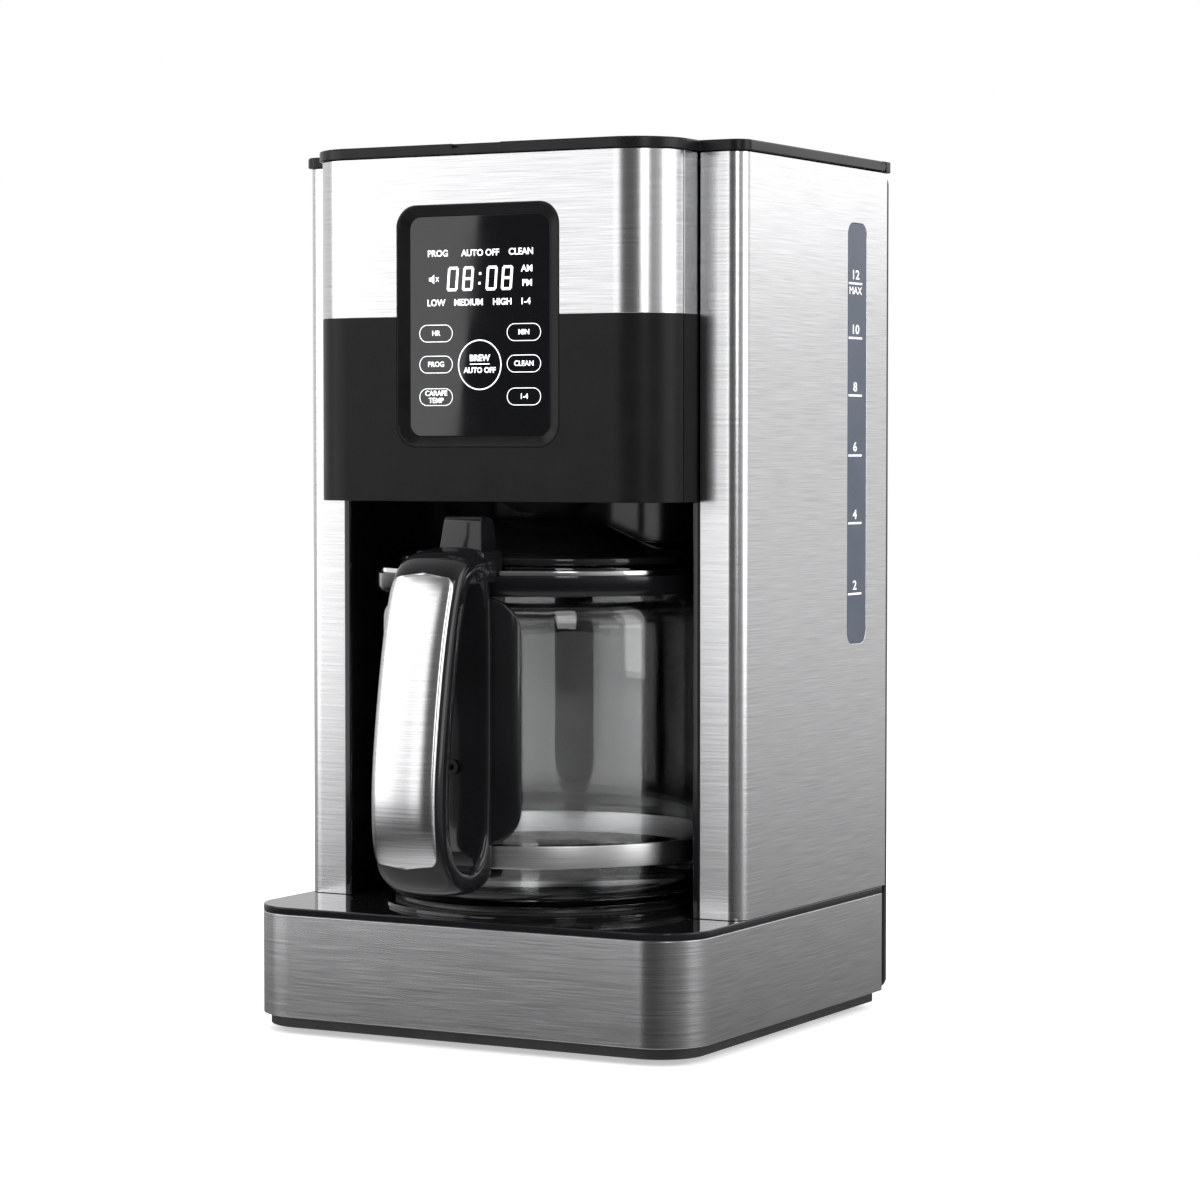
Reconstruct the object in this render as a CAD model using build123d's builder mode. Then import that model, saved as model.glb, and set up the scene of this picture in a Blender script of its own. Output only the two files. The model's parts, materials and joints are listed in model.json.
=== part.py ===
from build123d import *
import os

# Twelve-cup drip coffee maker, millimetres. +Z is up and -Y is the front.
# The origin lies on the plane of the feet, under the middle of the warming plate.

# Outer envelope
BODY_W = 202.0
REAR_Y = 112.2
BACK_Y = 115.0
SHEET = 1.2

# Base
BASE_FRONT_Y = -72.5
BASE_CORNER_R = 22.0
REAR_CORNER_R = 4.0
FOOT_H = 2.5
FLOOR_Z = 5.0
BAND_Z = 7.1
BAND_TOP_Z = 48.5
DECK_Z = 51.5
PLATE_R = 60.0
PLATE_TOP_Z = 55.4

# Tower and carafe bay
TOWER_FRONT_Y = -24.0
TOWER_CORNER_R = 7.0
SHELL_TOP_Z = 352.0
BAY_R = 82.3
LINER_T = 2.2
FRAME_T = 2.2
FRAME_TOP_Z = 346.8
TOP_DECK_T = 2.4

# Head
HEAD_W = 163.2
HEAD_FRONT_Y = -56.0
HEAD_CORNER_R = 21.0
HEAD_Z = 215.4
SPLIT_Z = 288.6
SEAM_Y = -36.5
SEAM_GAP = 0.6
HEAD_FLOOR_T = 2.4

# Control panel
PANEL_Z = 284.8
BEZEL_W = 74.2
BEZEL_H = 95.8
BEZEL_R = 9.0
GLASS_W = 64.0
GLASS_H = 87.0
GLASS_R = 5.0
GLASS_RECESS = 2.0

# Top lid and its hinge
LID_Z = 352.3
LID_TOP_Z = 356.5
LID_OVERHANG = 1.2
HINGE_Y = 106.0
HINGE_Z = (LID_Z + LID_TOP_Z) / 2
HINGE_R = (LID_TOP_Z - LID_Z) / 2
RAIL_Y = 108.5
PIN_R = 1.0
PIN_CLEAR = 0.05
LUG_X = 70.0
LUG_W = 12.0

# Water tank and level gauge
TANK_X = 96.5
TANK_REAR_Y = 109.0
TANK_LOW_FRONT_Y = 22.0
TANK_HIGH_FRONT_Y = 64.0
TANK_STEP_Z = 217.8
TANK_WALL = 2.0
TANK_BAY_R = 86.0
GAUGE_Y = (73.2, 91.6)
GAUGE_Z = (155.6, 329.3)
OUTLET = (78.0, 66.0)

# Heating circuit
PIPE_Z = 36.0
PIPE_Y = 5.0
HOSE_R = 4.5
HOSE_BORE_R = 3.0
BOILER_IN_R = 34.0
BOILER_OUT_R = 50.0
BOILER_Z = 30.0
STUB_X = 57.0
RISER_X = -90.5
SPOUT_X = -62.0

# Brew basket, centred a little behind the carafe axis
BASKET_Y = 8.0
BASKET_Z = 218.2
BASKET_TOP_Z = 343.0
BASKET_LOW_R = 38.0
BASKET_TOP_R = 49.0
BASKET_T = 1.8
NOZZLE_Z = 210.5
VALVE_BORE_R = 6.0
VALVE_TIP_Z = 212.0

# Carafe
CARAFE_R = 68.0
CARAFE_Z = 55.8
GLASS_T = 2.6
SHOULDER_Z = 174.0
NECK_R = 60.5
NECK_TOP_Z = 190.0
BAND_T = 1.2
COLLAR_Z = 178.5
COLLAR_R = 69.5
RING_Z = 186.5
RING_TOP_Z = 188.5
HANDLE_HALF_W = 15.5
HANDLE_TOP_Z = 197.3
HANDLE_LOW_Z = 62.8
LEVER_HALF_W = 9.5
LID_PIN_Y = -65.0
LID_PIN_Z = 193.0


def body_plan(width, front_y, rear_y, front_r, rear_r):
    """Plan outline of a housing: a rectangle with its own front and rear corner radii."""
    with BuildSketch() as plan:
        with Locations((0, (front_y + rear_y) / 2)):
            Rectangle(width, rear_y - front_y)
        fillet(plan.vertices().group_by(Axis.Y)[0], front_r)
        if rear_r > 0:
            fillet(plan.vertices().group_by(Axis.Y)[-1], rear_r)
    return plan.sketch


def base_plan(inset):
    """Outline of the base, drawn in by an inset."""
    return body_plan(BODY_W - 2 * inset, BASE_FRONT_Y + inset, REAR_Y - inset,
                     BASE_CORNER_R - inset, REAR_CORNER_R)


def head_plan(inset, rear_y):
    """Outline of the head, drawn in by an inset and run back to rear_y."""
    return body_plan(HEAD_W - 2 * inset, HEAD_FRONT_Y + inset, rear_y, HEAD_CORNER_R - inset, 0)


def bay_plan(radius):
    """Outline of the carafe bay: a half round with straight sides to the tower front."""
    with BuildSketch() as plan:
        Circle(radius)
        with Locations((0, TOWER_FRONT_Y / 2)):
            Rectangle(2 * radius, -TOWER_FRONT_Y)
        with Locations((0, TOWER_FRONT_Y + SHEET - radius)):
            Rectangle(4 * radius, 2 * radius, mode=Mode.SUBTRACT)
    return plan.sketch


def handle_outline(shift):
    """Side view of the carafe handle without its finger hole, moved back by a shift."""
    with BuildSketch() as outline:
        with BuildLine():
            Line((-52 + shift, HANDLE_TOP_Z), (-80 + shift, HANDLE_TOP_Z))
            Spline((-80 + shift, HANDLE_TOP_Z), (-91.5 + shift, 194.3), (-99.5 + shift, 184.5),
                   (-106.8 + shift, 160.0), (-112.6 + shift, 126.0), (-115.0 + shift, 100.0),
                   (-112.6 + shift, 79.5), (-104.5 + shift, 67.0), (-90.0 + shift, HANDLE_LOW_Z))
            Line((-90.0 + shift, HANDLE_LOW_Z), (-52 + shift, HANDLE_LOW_Z))
            Line((-52 + shift, HANDLE_LOW_Z), (-52 + shift, HANDLE_TOP_Z))
        make_face()
    return outline.sketch


# ---------------------------------------------------------------- base

FEET_AT = [(-76, -46), (76, -46), (-82, 92), (82, 92)]
BASE_SCREWS_AT = [(-88, -22), (88, -22), (-90, 60), (90, 60)]
SCREW_R = 1.6
SCREW_HEAD_R = 3.2

with BuildPart() as base_bottom:
    with BuildSketch(Plane.XY.offset(FOOT_H)):
        add(base_plan(3.0))
    extrude(amount=BAND_Z - FOOT_H)
    with BuildSketch(Plane.XY.offset(BAND_Z)):
        add(base_plan(SHEET))
    extrude(amount=BAND_TOP_Z - BAND_Z)
    with BuildSketch(Plane.XY.offset(FLOOR_Z)):
        add(base_plan(5.0))
    extrude(amount=BAND_TOP_Z - FLOOR_Z, mode=Mode.SUBTRACT)
    with BuildSketch(Plane.XY.offset(FLOOR_Z)):
        with Locations(*BASE_SCREWS_AT):
            Circle(4.5)
    extrude(amount=BAND_TOP_Z - FLOOR_Z)
    with Locations(*[Location((x, y, FOOT_H), (180, 0, 0)) for x, y in BASE_SCREWS_AT]):
        CounterBoreHole(SCREW_R, SCREW_HEAD_R, 1.8, BAND_TOP_Z - FOOT_H)
    with BuildSketch(Plane.XY.offset(FOOT_H)):
        with GridLocations(9, 0, 9, 1):
            SlotOverall(26, 3, rotation=90)
    extrude(amount=FLOOR_Z - FOOT_H, mode=Mode.SUBTRACT)
    with BuildSketch(Plane.XZ.offset(-REAR_Y)):
        with Locations((60, 26)):
            Circle(9)
    extrude(amount=12, mode=Mode.SUBTRACT)
base_bottom.part.label = "base_bottom"

with BuildPart() as rubber_feet:
    with BuildSketch():
        with Locations(*FEET_AT):
            Circle(9)
    extrude(amount=FOOT_H)
    chamfer(rubber_feet.edges().group_by(Axis.Z)[0], 0.6)
rubber_feet.part.label = "rubber_feet"

with BuildPart() as base_band:
    with BuildSketch(Plane.XY.offset(BAND_Z)):
        add(base_plan(0))
        add(base_plan(SHEET), mode=Mode.SUBTRACT)
    extrude(amount=BAND_TOP_Z - BAND_Z)
    with BuildSketch(Plane.XZ.offset(-REAR_Y - 1)):
        with Locations((60, 26)):
            Circle(9)
    extrude(amount=12, mode=Mode.SUBTRACT)
base_band.part.label = "base_band"

WELL_R = 62.0
RIM_IN_R = 63.5
RIM_OUT_R = 66.5
with BuildPart() as base_top:
    with BuildSketch(Plane.XY.offset(BAND_TOP_Z)):
        add(base_plan(0))
        Circle(WELL_R, mode=Mode.SUBTRACT)
        with Locations(OUTLET):
            Circle(6.5, mode=Mode.SUBTRACT)
        with Locations((RISER_X, PIPE_Y)):
            Circle(HOSE_R + 1, mode=Mode.SUBTRACT)
    extrude(amount=DECK_Z - BAND_TOP_Z)
    with BuildSketch(Plane.XY.offset(DECK_Z)):
        Circle(RIM_OUT_R)
        Circle(RIM_IN_R, mode=Mode.SUBTRACT)
    extrude(amount=1.6)
    rim_edges = base_top.edges().filter_by(GeomType.CIRCLE).group_by(Axis.Z)[-1]
    fillet(rim_edges, 0.7)
base_top.part.label = "base_top"

with BuildPart() as hot_plate:
    with BuildSketch(Plane.XY.offset(PLATE_TOP_Z - 2.9)):
        Circle(PLATE_R)
    extrude(amount=2.9)
    fillet(hot_plate.edges().group_by(Axis.Z)[-1], 1.2)
    with BuildSketch(Plane.XY.offset(PLATE_TOP_Z)):
        Circle(PLATE_R - 6)
    extrude(amount=-0.5, mode=Mode.SUBTRACT)
hot_plate.part.label = "hot_plate"

with BuildPart() as hot_plate_seal:
    with BuildSketch(Plane.XY.offset(BAND_TOP_Z + 0.5)):
        Circle(WELL_R)
        Circle(PLATE_R, mode=Mode.SUBTRACT)
    extrude(amount=DECK_Z + 2.0 - BAND_TOP_Z - 0.5)
hot_plate_seal.part.label = "hot_plate_seal"

# ---------------------------------------------------------------- heating circuit

PLATE_LOW_Z = PLATE_TOP_Z - 2.9
with BuildPart() as boiler:
    with BuildSketch(Plane.XY.offset(BOILER_Z)):
        Circle(BOILER_OUT_R)
        Circle(BOILER_IN_R, mode=Mode.SUBTRACT)
        with Locations((0, -BOILER_OUT_R)):
            Rectangle(36, BOILER_OUT_R, mode=Mode.SUBTRACT)
    extrude(amount=PLATE_LOW_Z - BOILER_Z)
    with BuildSketch(Plane.YZ.offset(-STUB_X)):
        with Locations((PIPE_Y, PIPE_Z)):
            Circle(HOSE_BORE_R)
    extrude(amount=STUB_X - BOILER_OUT_R + 4)
    with BuildSketch(Plane.YZ.offset(STUB_X)):
        with Locations((PIPE_Y, PIPE_Z)):
            Circle(HOSE_BORE_R)
    extrude(amount=-(STUB_X - BOILER_OUT_R + 4))
boiler.part.label = "boiler"

with BuildPart() as heater_element:
    with BuildSketch(Plane.XY.offset(BOILER_Z - 6)):
        Circle(45)
        Circle(38, mode=Mode.SUBTRACT)
        with Locations((0, -BOILER_OUT_R)):
            Rectangle(44, BOILER_OUT_R, mode=Mode.SUBTRACT)
    extrude(amount=6)
    fillet(heater_element.edges().group_by(Axis.Z)[0], 1.5)
heater_element.part.label = "heater_element"

with BuildPart() as heater_clamp:
    with BuildSketch(Plane.XY.offset(BOILER_Z - 9)):
        with Locations((0, 12)):
            Rectangle(96, 14)
    extrude(amount=3)
    with BuildSketch(Plane.XY.offset(BOILER_Z - 6)):
        with Locations((0, 12)):
            Circle(3)
    extrude(amount=PLATE_LOW_Z - BOILER_Z + 6)
heater_clamp.part.label = "heater_clamp"

with BuildPart() as thermostat:
    with BuildSketch(Plane.XY.offset(BOILER_Z - 13)):
        with Locations((0, 41.5)):
            Circle(8)
    extrude(amount=7)
    with BuildSketch(Plane.XY.offset(BOILER_Z - 17)):
        with Locations((-4, 41.5), (4, 41.5)):
            Rectangle(0.8, 5)
    extrude(amount=4)
thermostat.part.label = "thermostat"


def tube(path, outer_r, bore_r):
    """Round tube along a path that starts at the path's first point."""
    with BuildPart() as pipe:
        with BuildLine():
            add(path)
        with BuildSketch(Plane(path @ 0, z_dir=path % 0)):
            Circle(outer_r)
            Circle(bore_r, mode=Mode.SUBTRACT)
        sweep()
    return pipe


HOSE_BEND_R = 9.0
VALVE_Y = (22.0, 46.0)
with BuildLine() as tank_hose_path:
    FilletPolyline(
        (*OUTLET, DECK_Z - 1), (*OUTLET, PIPE_Z), (OUTLET[0], VALVE_Y[1], PIPE_Z), radius=HOSE_BEND_R
    )
tank_hose = tube(tank_hose_path.line, HOSE_R, HOSE_BORE_R)
tank_hose.part.label = "tank_hose"

with BuildLine() as boiler_hose_path:
    FilletPolyline((OUTLET[0], VALVE_Y[0], PIPE_Z), (OUTLET[0], PIPE_Y, PIPE_Z), (STUB_X - 6, PIPE_Y, PIPE_Z),
                   radius=HOSE_BEND_R)
boiler_hose = tube(boiler_hose_path.line, HOSE_R, HOSE_BORE_R)
boiler_hose.part.label = "boiler_hose"

with BuildLine() as riser_path:
    FilletPolyline((-STUB_X + 6, PIPE_Y, PIPE_Z), (RISER_X, PIPE_Y, PIPE_Z), (RISER_X, PIPE_Y, 334.0),
                   (SPOUT_X, PIPE_Y, 334.0), (SPOUT_X, PIPE_Y, FRAME_TOP_Z + TOP_DECK_T), radius=HOSE_BEND_R)
riser = tube(riser_path.line, HOSE_R, HOSE_BORE_R)
riser.part.label = "riser"

BALL_R = 3.0
with BuildPart() as check_valve:
    with BuildSketch(Plane.XZ.offset(-VALVE_Y[0])):
        with Locations((OUTLET[0], PIPE_Z)):
            Circle(7.5)
            Circle(2.2, mode=Mode.SUBTRACT)
    extrude(amount=-(VALVE_Y[1] - VALVE_Y[0]))
    with BuildSketch(Plane.XZ.offset(-VALVE_Y[0] - 6)):
        with Locations((OUTLET[0], PIPE_Z)):
            Circle(4.2)
    extrude(amount=-12, mode=Mode.SUBTRACT)
check_valve.part.label = "check_valve"

with BuildPart() as check_ball:
    with Locations((OUTLET[0], VALVE_Y[0] + 10, PIPE_Z)):
        Sphere(BALL_R)
check_ball.part.label = "check_ball"

with BuildPart() as riser_seal:
    with BuildSketch(Plane.XY.offset(FRAME_TOP_Z + TOP_DECK_T)):
        with Locations((SPOUT_X, PIPE_Y)):
            Circle(7)
            Circle(HOSE_BORE_R, mode=Mode.SUBTRACT)
    extrude(amount=0.8)
riser_seal.part.label = "riser_seal"

# ---------------------------------------------------------------- tower

def tower_skin(side):
    """Folded steel sheet of one tower side: the side, the front corner and the front flange."""
    with BuildPart() as skin:
        with BuildSketch(Plane.XY.offset(DECK_Z)):
            add(body_plan(BODY_W, TOWER_FRONT_Y, REAR_Y, TOWER_CORNER_R, 0))
            add(body_plan(BODY_W - 2 * SHEET, TOWER_FRONT_Y + SHEET, REAR_Y + 1, TOWER_CORNER_R - SHEET, 0),
                mode=Mode.SUBTRACT)
            with Locations((-side * (BODY_W - BAY_R), 0)):
                Rectangle(2 * BODY_W, 4 * BODY_W, mode=Mode.SUBTRACT)
        extrude(amount=SHELL_TOP_Z - DECK_Z)
    return skin


def gauge_slot(from_x, depth):
    """Round-cornered slot for the level gauge, cut into or filled from the right side."""
    with BuildPart() as slot:
        with BuildSketch(Plane.YZ.offset(from_x)):
            with Locations((sum(GAUGE_Y) / 2, sum(GAUGE_Z) / 2)):
                RectangleRounded(GAUGE_Y[1] - GAUGE_Y[0], GAUGE_Z[1] - GAUGE_Z[0], 5)
        extrude(amount=depth)
    return slot.part


tower_shell_left = tower_skin(-1)
tower_shell_left.part.label = "tower_shell_left"

tower_shell_right = tower_skin(1)
with tower_shell_right:
    add(gauge_slot(BODY_W / 2 - 10, 20), mode=Mode.SUBTRACT)
tower_shell_right.part.label = "tower_shell_right"


with BuildPart() as side_frames:
    with BuildSketch(Plane.XY.offset(DECK_Z)):
        for side in (-1, 1):
            middle_y = (TOWER_CORNER_R + TOWER_FRONT_Y + REAR_Y) / 2
            with Locations((side * (BODY_W / 2 - SHEET - FRAME_T / 2), middle_y)):
                Rectangle(FRAME_T, REAR_Y - TOWER_FRONT_Y - TOWER_CORNER_R)
    extrude(amount=FRAME_TOP_Z - DECK_Z)
    add(gauge_slot(BODY_W / 2 - 10, 20), mode=Mode.SUBTRACT)
side_frames.part.label = "side_frames"

with BuildPart() as gauge_window:
    add(gauge_slot(BODY_W / 2 - SHEET - FRAME_T, SHEET + FRAME_T))
gauge_window.part.label = "gauge_window"

with BuildPart() as niche_liner:
    with BuildSketch(Plane.XY.offset(DECK_Z)):
        add(bay_plan(BAY_R + LINER_T))
        add(bay_plan(BAY_R), mode=Mode.SUBTRACT)
    extrude(amount=HEAD_Z - DECK_Z)
niche_liner.part.label = "niche_liner"

TRIM_W = 3.0
with BuildPart() as niche_trim:
    with BuildSketch(Plane.XY.offset(DECK_Z)):
        for side in (-1, 1):
            with Locations((side * (BAY_R - TRIM_W / 2), TOWER_FRONT_Y + 1.2)):
                Rectangle(TRIM_W, 3.6)
    extrude(amount=HEAD_Z - DECK_Z)
    fillet(niche_trim.edges().filter_by(Axis.Z).group_by(Axis.Y)[0], 0.8)
niche_trim.part.label = "niche_trim"


def tank_block(inset, low_z, top_z):
    """Water space of the tank, drawn in by an inset: low behind the bay, narrow behind the head."""
    with BuildPart() as block:
        with BuildSketch(Plane.XY.offset(low_z)):
            add(body_plan(2 * (TANK_X - inset), TANK_LOW_FRONT_Y + inset, TANK_REAR_Y - inset, 1, 3))
            Circle(TANK_BAY_R + inset, mode=Mode.SUBTRACT)
        extrude(amount=TANK_STEP_Z - inset - low_z)
        with BuildSketch(Plane.XY.offset(TANK_STEP_Z - 8)):
            add(body_plan(2 * (TANK_X - inset), TANK_HIGH_FRONT_Y + inset, TANK_REAR_Y - inset, 1, 3))
            Circle(TANK_BAY_R + inset, mode=Mode.SUBTRACT)
        extrude(amount=8 + inset)
        with BuildSketch(Plane.XY.offset(TANK_STEP_Z + inset)):
            add(body_plan(2 * (TANK_X - inset), TANK_HIGH_FRONT_Y + inset, TANK_REAR_Y - inset, 1, 3))
        extrude(amount=top_z - TANK_STEP_Z - inset)
    return block.part


with BuildPart() as water_tank:
    add(tank_block(0, DECK_Z, FRAME_TOP_Z))
    add(tank_block(TANK_WALL, DECK_Z + TANK_WALL, FRAME_TOP_Z + 5), mode=Mode.SUBTRACT)
    with BuildSketch(Plane.XY.offset(DECK_Z - 1)):
        with Locations(OUTLET):
            Circle(5.5)
    extrude(amount=2)
    with BuildSketch(Plane.XY.offset(DECK_Z - 2)):
        with Locations(OUTLET):
            Circle(HOSE_BORE_R)
    extrude(amount=8, mode=Mode.SUBTRACT)
water_tank.part.label = "water_tank"

with BuildPart() as tank_screen:
    with BuildSketch(Plane.XY.offset(DECK_Z + TANK_WALL)):
        with Locations(OUTLET):
            Circle(5)
            Circle(4, mode=Mode.SUBTRACT)
    extrude(amount=8)
    with BuildSketch(Plane.XY.offset(DECK_Z + TANK_WALL + 7)):
        with Locations(OUTLET):
            Circle(4.5)
            with PolarLocations(2.5, 6):
                Circle(0.6, mode=Mode.SUBTRACT)
    extrude(amount=1)
tank_screen.part.label = "tank_screen"

VENT_COUNT = 9
BACK_SCREWS_AT = [(x, z) for x in (-88, 88) for z in (60, 200, 340)]
with BuildPart() as back_cover:
    with BuildSketch(Plane.XZ.offset(-REAR_Y)):
        with Locations((0, (BAND_Z + SHELL_TOP_Z) / 2)):
            RectangleRounded(BODY_W - 3, SHELL_TOP_Z - BAND_Z, 5)
        with Locations((0, 82)):
            with GridLocations(9, 0, VENT_COUNT, 1):
                SlotOverall(28, 3.6, rotation=90, mode=Mode.SUBTRACT)
        with Locations((60, 26)):
            Circle(9, mode=Mode.SUBTRACT)
        with Locations(*BACK_SCREWS_AT):
            Circle(SCREW_HEAD_R + 0.2, mode=Mode.SUBTRACT)
    extrude(amount=-(BACK_Y - REAR_Y))
    chamfer(back_cover.faces().sort_by(Axis.Y)[-1].outer_wire().edges(), 1.0)
back_cover.part.label = "back_cover"

with BuildPart() as case_screws:
    with BuildSketch(Plane.XZ.offset(-REAR_Y)):
        with Locations(*BACK_SCREWS_AT):
            Circle(SCREW_HEAD_R)
            RegularPolygon(1.3, 6, mode=Mode.SUBTRACT)
    extrude(amount=-1.8)
    with BuildSketch(Plane.XY.offset(FOOT_H + 0.2)):
        with Locations(*BASE_SCREWS_AT):
            Circle(SCREW_HEAD_R - 0.1)
            RegularPolygon(1.2, 6, mode=Mode.SUBTRACT)
    extrude(amount=1.6)
    with BuildSketch(Plane.XY.offset(FOOT_H + 1.4)):
        with Locations(*BASE_SCREWS_AT):
            Circle(SCREW_R)
    extrude(amount=18)
case_screws.part.label = "case_screws"

with BuildPart() as cord_gland:
    with BuildSketch(Plane.XZ.offset(-BACK_Y)):
        with Locations((60, 26)):
            Circle(8.8)
            Circle(3.6, mode=Mode.SUBTRACT)
    extrude(amount=8)
    chamfer(cord_gland.faces().sort_by(Axis.Y)[-1].outer_wire().edges(), 1.0)
cord_gland.part.label = "cord_gland"

# ---------------------------------------------------------------- head


def panel_cut(width, height, radius, front_y, depth):
    """Round-cornered block through the head front, centred on the control panel."""
    with BuildPart() as block:
        with BuildSketch(Plane.XZ.offset(-front_y)):
            with Locations((0, PANEL_Z)):
                RectangleRounded(width, height, radius)
        extrude(amount=-depth)
    return block.part


def head_skin(low_z, top_z):
    """Front of the head between two heights, wrapped round both corners up to the side seam."""
    with BuildPart() as skin:
        with BuildSketch(Plane.XY.offset(low_z)):
            add(head_plan(0, 0))
            add(head_plan(SHEET, 1), mode=Mode.SUBTRACT)
            with Locations((0, SEAM_Y + HEAD_W / 2)):
                Rectangle(2 * HEAD_W, HEAD_W, mode=Mode.SUBTRACT)
        extrude(amount=top_z - low_z)
        add(panel_cut(BEZEL_W, BEZEL_H, BEZEL_R, HEAD_FRONT_Y - 5, 12), mode=Mode.SUBTRACT)
    return skin


def head_strips(low_z, top_z):
    """The two short side strips between the head's seam and the tower."""
    with BuildPart() as strips:
        front_y = SEAM_Y + SEAM_GAP
        with BuildSketch(Plane.XY.offset(low_z)):
            for side in (-1, 1):
                with Locations((side * (HEAD_W - SHEET) / 2, (front_y + TOWER_FRONT_Y - 0.6) / 2)):
                    Rectangle(SHEET, TOWER_FRONT_Y - 0.6 - front_y)
        extrude(amount=top_z - low_z)
    return strips


head_front_steel = head_skin(SPLIT_Z, SHELL_TOP_Z)
head_front_steel.part.label = "head_front_steel"

head_front_black = head_skin(HEAD_Z, SPLIT_Z)
head_front_black.part.label = "head_front_black"

head_strips_upper = head_strips(SPLIT_Z, SHELL_TOP_Z)
head_strips_upper.part.label = "head_strips_upper"

head_strips_lower = head_strips(HEAD_Z, SPLIT_Z)
head_strips_lower.part.label = "head_strips_lower"

HEAD_FLOOR_TOP_Z = HEAD_Z + HEAD_FLOOR_T
HEAD_FRAME_REAR_Y = 62.0
with BuildPart() as head_frame:
    with BuildSketch(Plane.XY.offset(HEAD_FLOOR_TOP_Z)):
        add(head_plan(SHEET, HEAD_FRAME_REAR_Y))
        add(head_plan(SHEET + FRAME_T, HEAD_FRAME_REAR_Y + 1), mode=Mode.SUBTRACT)
    extrude(amount=FRAME_TOP_Z - HEAD_FLOOR_TOP_Z)
    add(panel_cut(BEZEL_W, BEZEL_H, BEZEL_R, HEAD_FRONT_Y - 5, 12), mode=Mode.SUBTRACT)
    with Locations((-HEAD_W / 2, PIPE_Y, 334)):
        Box(10, 12, 12, mode=Mode.SUBTRACT)
head_frame.part.label = "head_frame"

NOZZLE_HOLE_R = 21.0
with BuildPart() as head_floor:
    with BuildSketch(Plane.XY.offset(HEAD_Z)):
        add(head_plan(SHEET, TOWER_FRONT_Y + SHEET))
        add(bay_plan(BAY_R + LINER_T))
        Circle(NOZZLE_HOLE_R, mode=Mode.SUBTRACT)
    extrude(amount=HEAD_FLOOR_T)
head_floor.part.label = "head_floor"

MOUTH_Y = (68.0, 102.0)
BASKET_HOLE_R = 52.0
with BuildPart() as top_deck:
    with BuildSketch(Plane.XY.offset(FRAME_TOP_Z)):
        add(head_plan(SHEET, 40))
        add(body_plan(BODY_W - 2 * SHEET, TOWER_FRONT_Y + SHEET, REAR_Y, TOWER_CORNER_R - SHEET, 0))
        with Locations((0, BASKET_Y)):
            Circle(BASKET_HOLE_R, mode=Mode.SUBTRACT)
        with Locations((0, sum(MOUTH_Y) / 2)):
            RectangleRounded(176, MOUTH_Y[1] - MOUTH_Y[0], 8, mode=Mode.SUBTRACT)
        with Locations((SPOUT_X, PIPE_Y)):
            Circle(HOSE_R, mode=Mode.SUBTRACT)
    extrude(amount=TOP_DECK_T)
top_deck.part.label = "top_deck"

BEZEL_DEPTH = 6.0
with BuildPart() as panel_bezel:
    add(panel_cut(BEZEL_W, BEZEL_H, BEZEL_R, HEAD_FRONT_Y, BEZEL_DEPTH))
    with BuildSketch(Plane.XZ.offset(-HEAD_FRONT_Y)):
        with Locations((0, PANEL_Z)):
            RectangleRounded(BEZEL_W - 1.4, BEZEL_H - 1.4, BEZEL_R - 0.7)
    with BuildSketch(Plane.XZ.offset(-HEAD_FRONT_Y - GLASS_RECESS)):
        with Locations((0, PANEL_Z)):
            RectangleRounded(GLASS_W, GLASS_H, GLASS_R)
    loft(mode=Mode.SUBTRACT)
    add(panel_cut(GLASS_W, GLASS_H, GLASS_R, HEAD_FRONT_Y, BEZEL_DEPTH + 1), mode=Mode.SUBTRACT)
panel_bezel.part.label = "panel_bezel"

with BuildPart() as panel_glass:
    add(panel_cut(GLASS_W, GLASS_H, GLASS_R, HEAD_FRONT_Y + GLASS_RECESS, 1.8))
panel_glass.part.label = "panel_glass"

with BuildPart() as display_module:
    with Locations((0, HEAD_FRONT_Y + GLASS_RECESS + 1.8 + 1.6, 305)):
        Box(52, 3.2, 26)
display_module.part.label = "display_module"

with BuildPart() as control_board:
    with Locations((0, HEAD_FRONT_Y + GLASS_RECESS + 1.8 + 3.2 + 0.8, PANEL_Z)):
        Box(62, 1.6, 84)
    with Locations((18, HEAD_FRONT_Y + 10.1, 262)):
        Box(14, 3, 14)
    with Locations((-12, HEAD_FRONT_Y + 10.6, 252)):
        Box(16, 4, 6)
control_board.part.label = "control_board"

with BuildPart() as power_board:
    with Locations((-20, 88, 12)):
        Box(90, 30, 1.6)
    with Locations((-50, 88, 18.8)):
        Box(16, 20, 12)
    with Locations((-24, 88, 20.8)):
        Box(20, 16, 16)
    with Locations((10, 88, 16.8)):
        Box(12, 10, 8)
    with Locations((-58, 76, 8.1), (18, 76, 8.1), (-58, 100, 8.1), (18, 100, 8.1)):
        Cylinder(2.5, 6.2)
power_board.part.label = "power_board"

# ---------------------------------------------------------------- brew basket and drip stop

NOZZLE_TOP_R = 19.0
NOZZLE_LOW_R = 12.5
with BuildPart() as basket:
    with BuildSketch(Plane.XZ.offset(-BASKET_Y)):
        with BuildLine():
            Polyline((0, BASKET_Z), (BASKET_LOW_R, BASKET_Z), (BASKET_TOP_R, BASKET_TOP_Z),
                     (BASKET_TOP_R - BASKET_T, BASKET_TOP_Z), (BASKET_LOW_R - BASKET_T, BASKET_Z + 2.4),
                     (0, BASKET_Z + 2.4), close=True)
        make_face()
    revolve(axis=Axis((0, BASKET_Y, 0), (0, 0, 1)))
    with BuildSketch(Plane.XZ):
        with BuildLine():
            Polyline((0, BASKET_Z), (NOZZLE_TOP_R, BASKET_Z), (NOZZLE_TOP_R, HEAD_Z - 0.4),
                     (NOZZLE_LOW_R, NOZZLE_Z), (0, NOZZLE_Z), close=True)
        make_face()
    revolve(axis=Axis.Z)
    with BuildSketch(Plane.XY.offset(NOZZLE_Z - 1)):
        Circle(VALVE_BORE_R)
    extrude(amount=20, mode=Mode.SUBTRACT)
basket.part.label = "basket"

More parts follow.
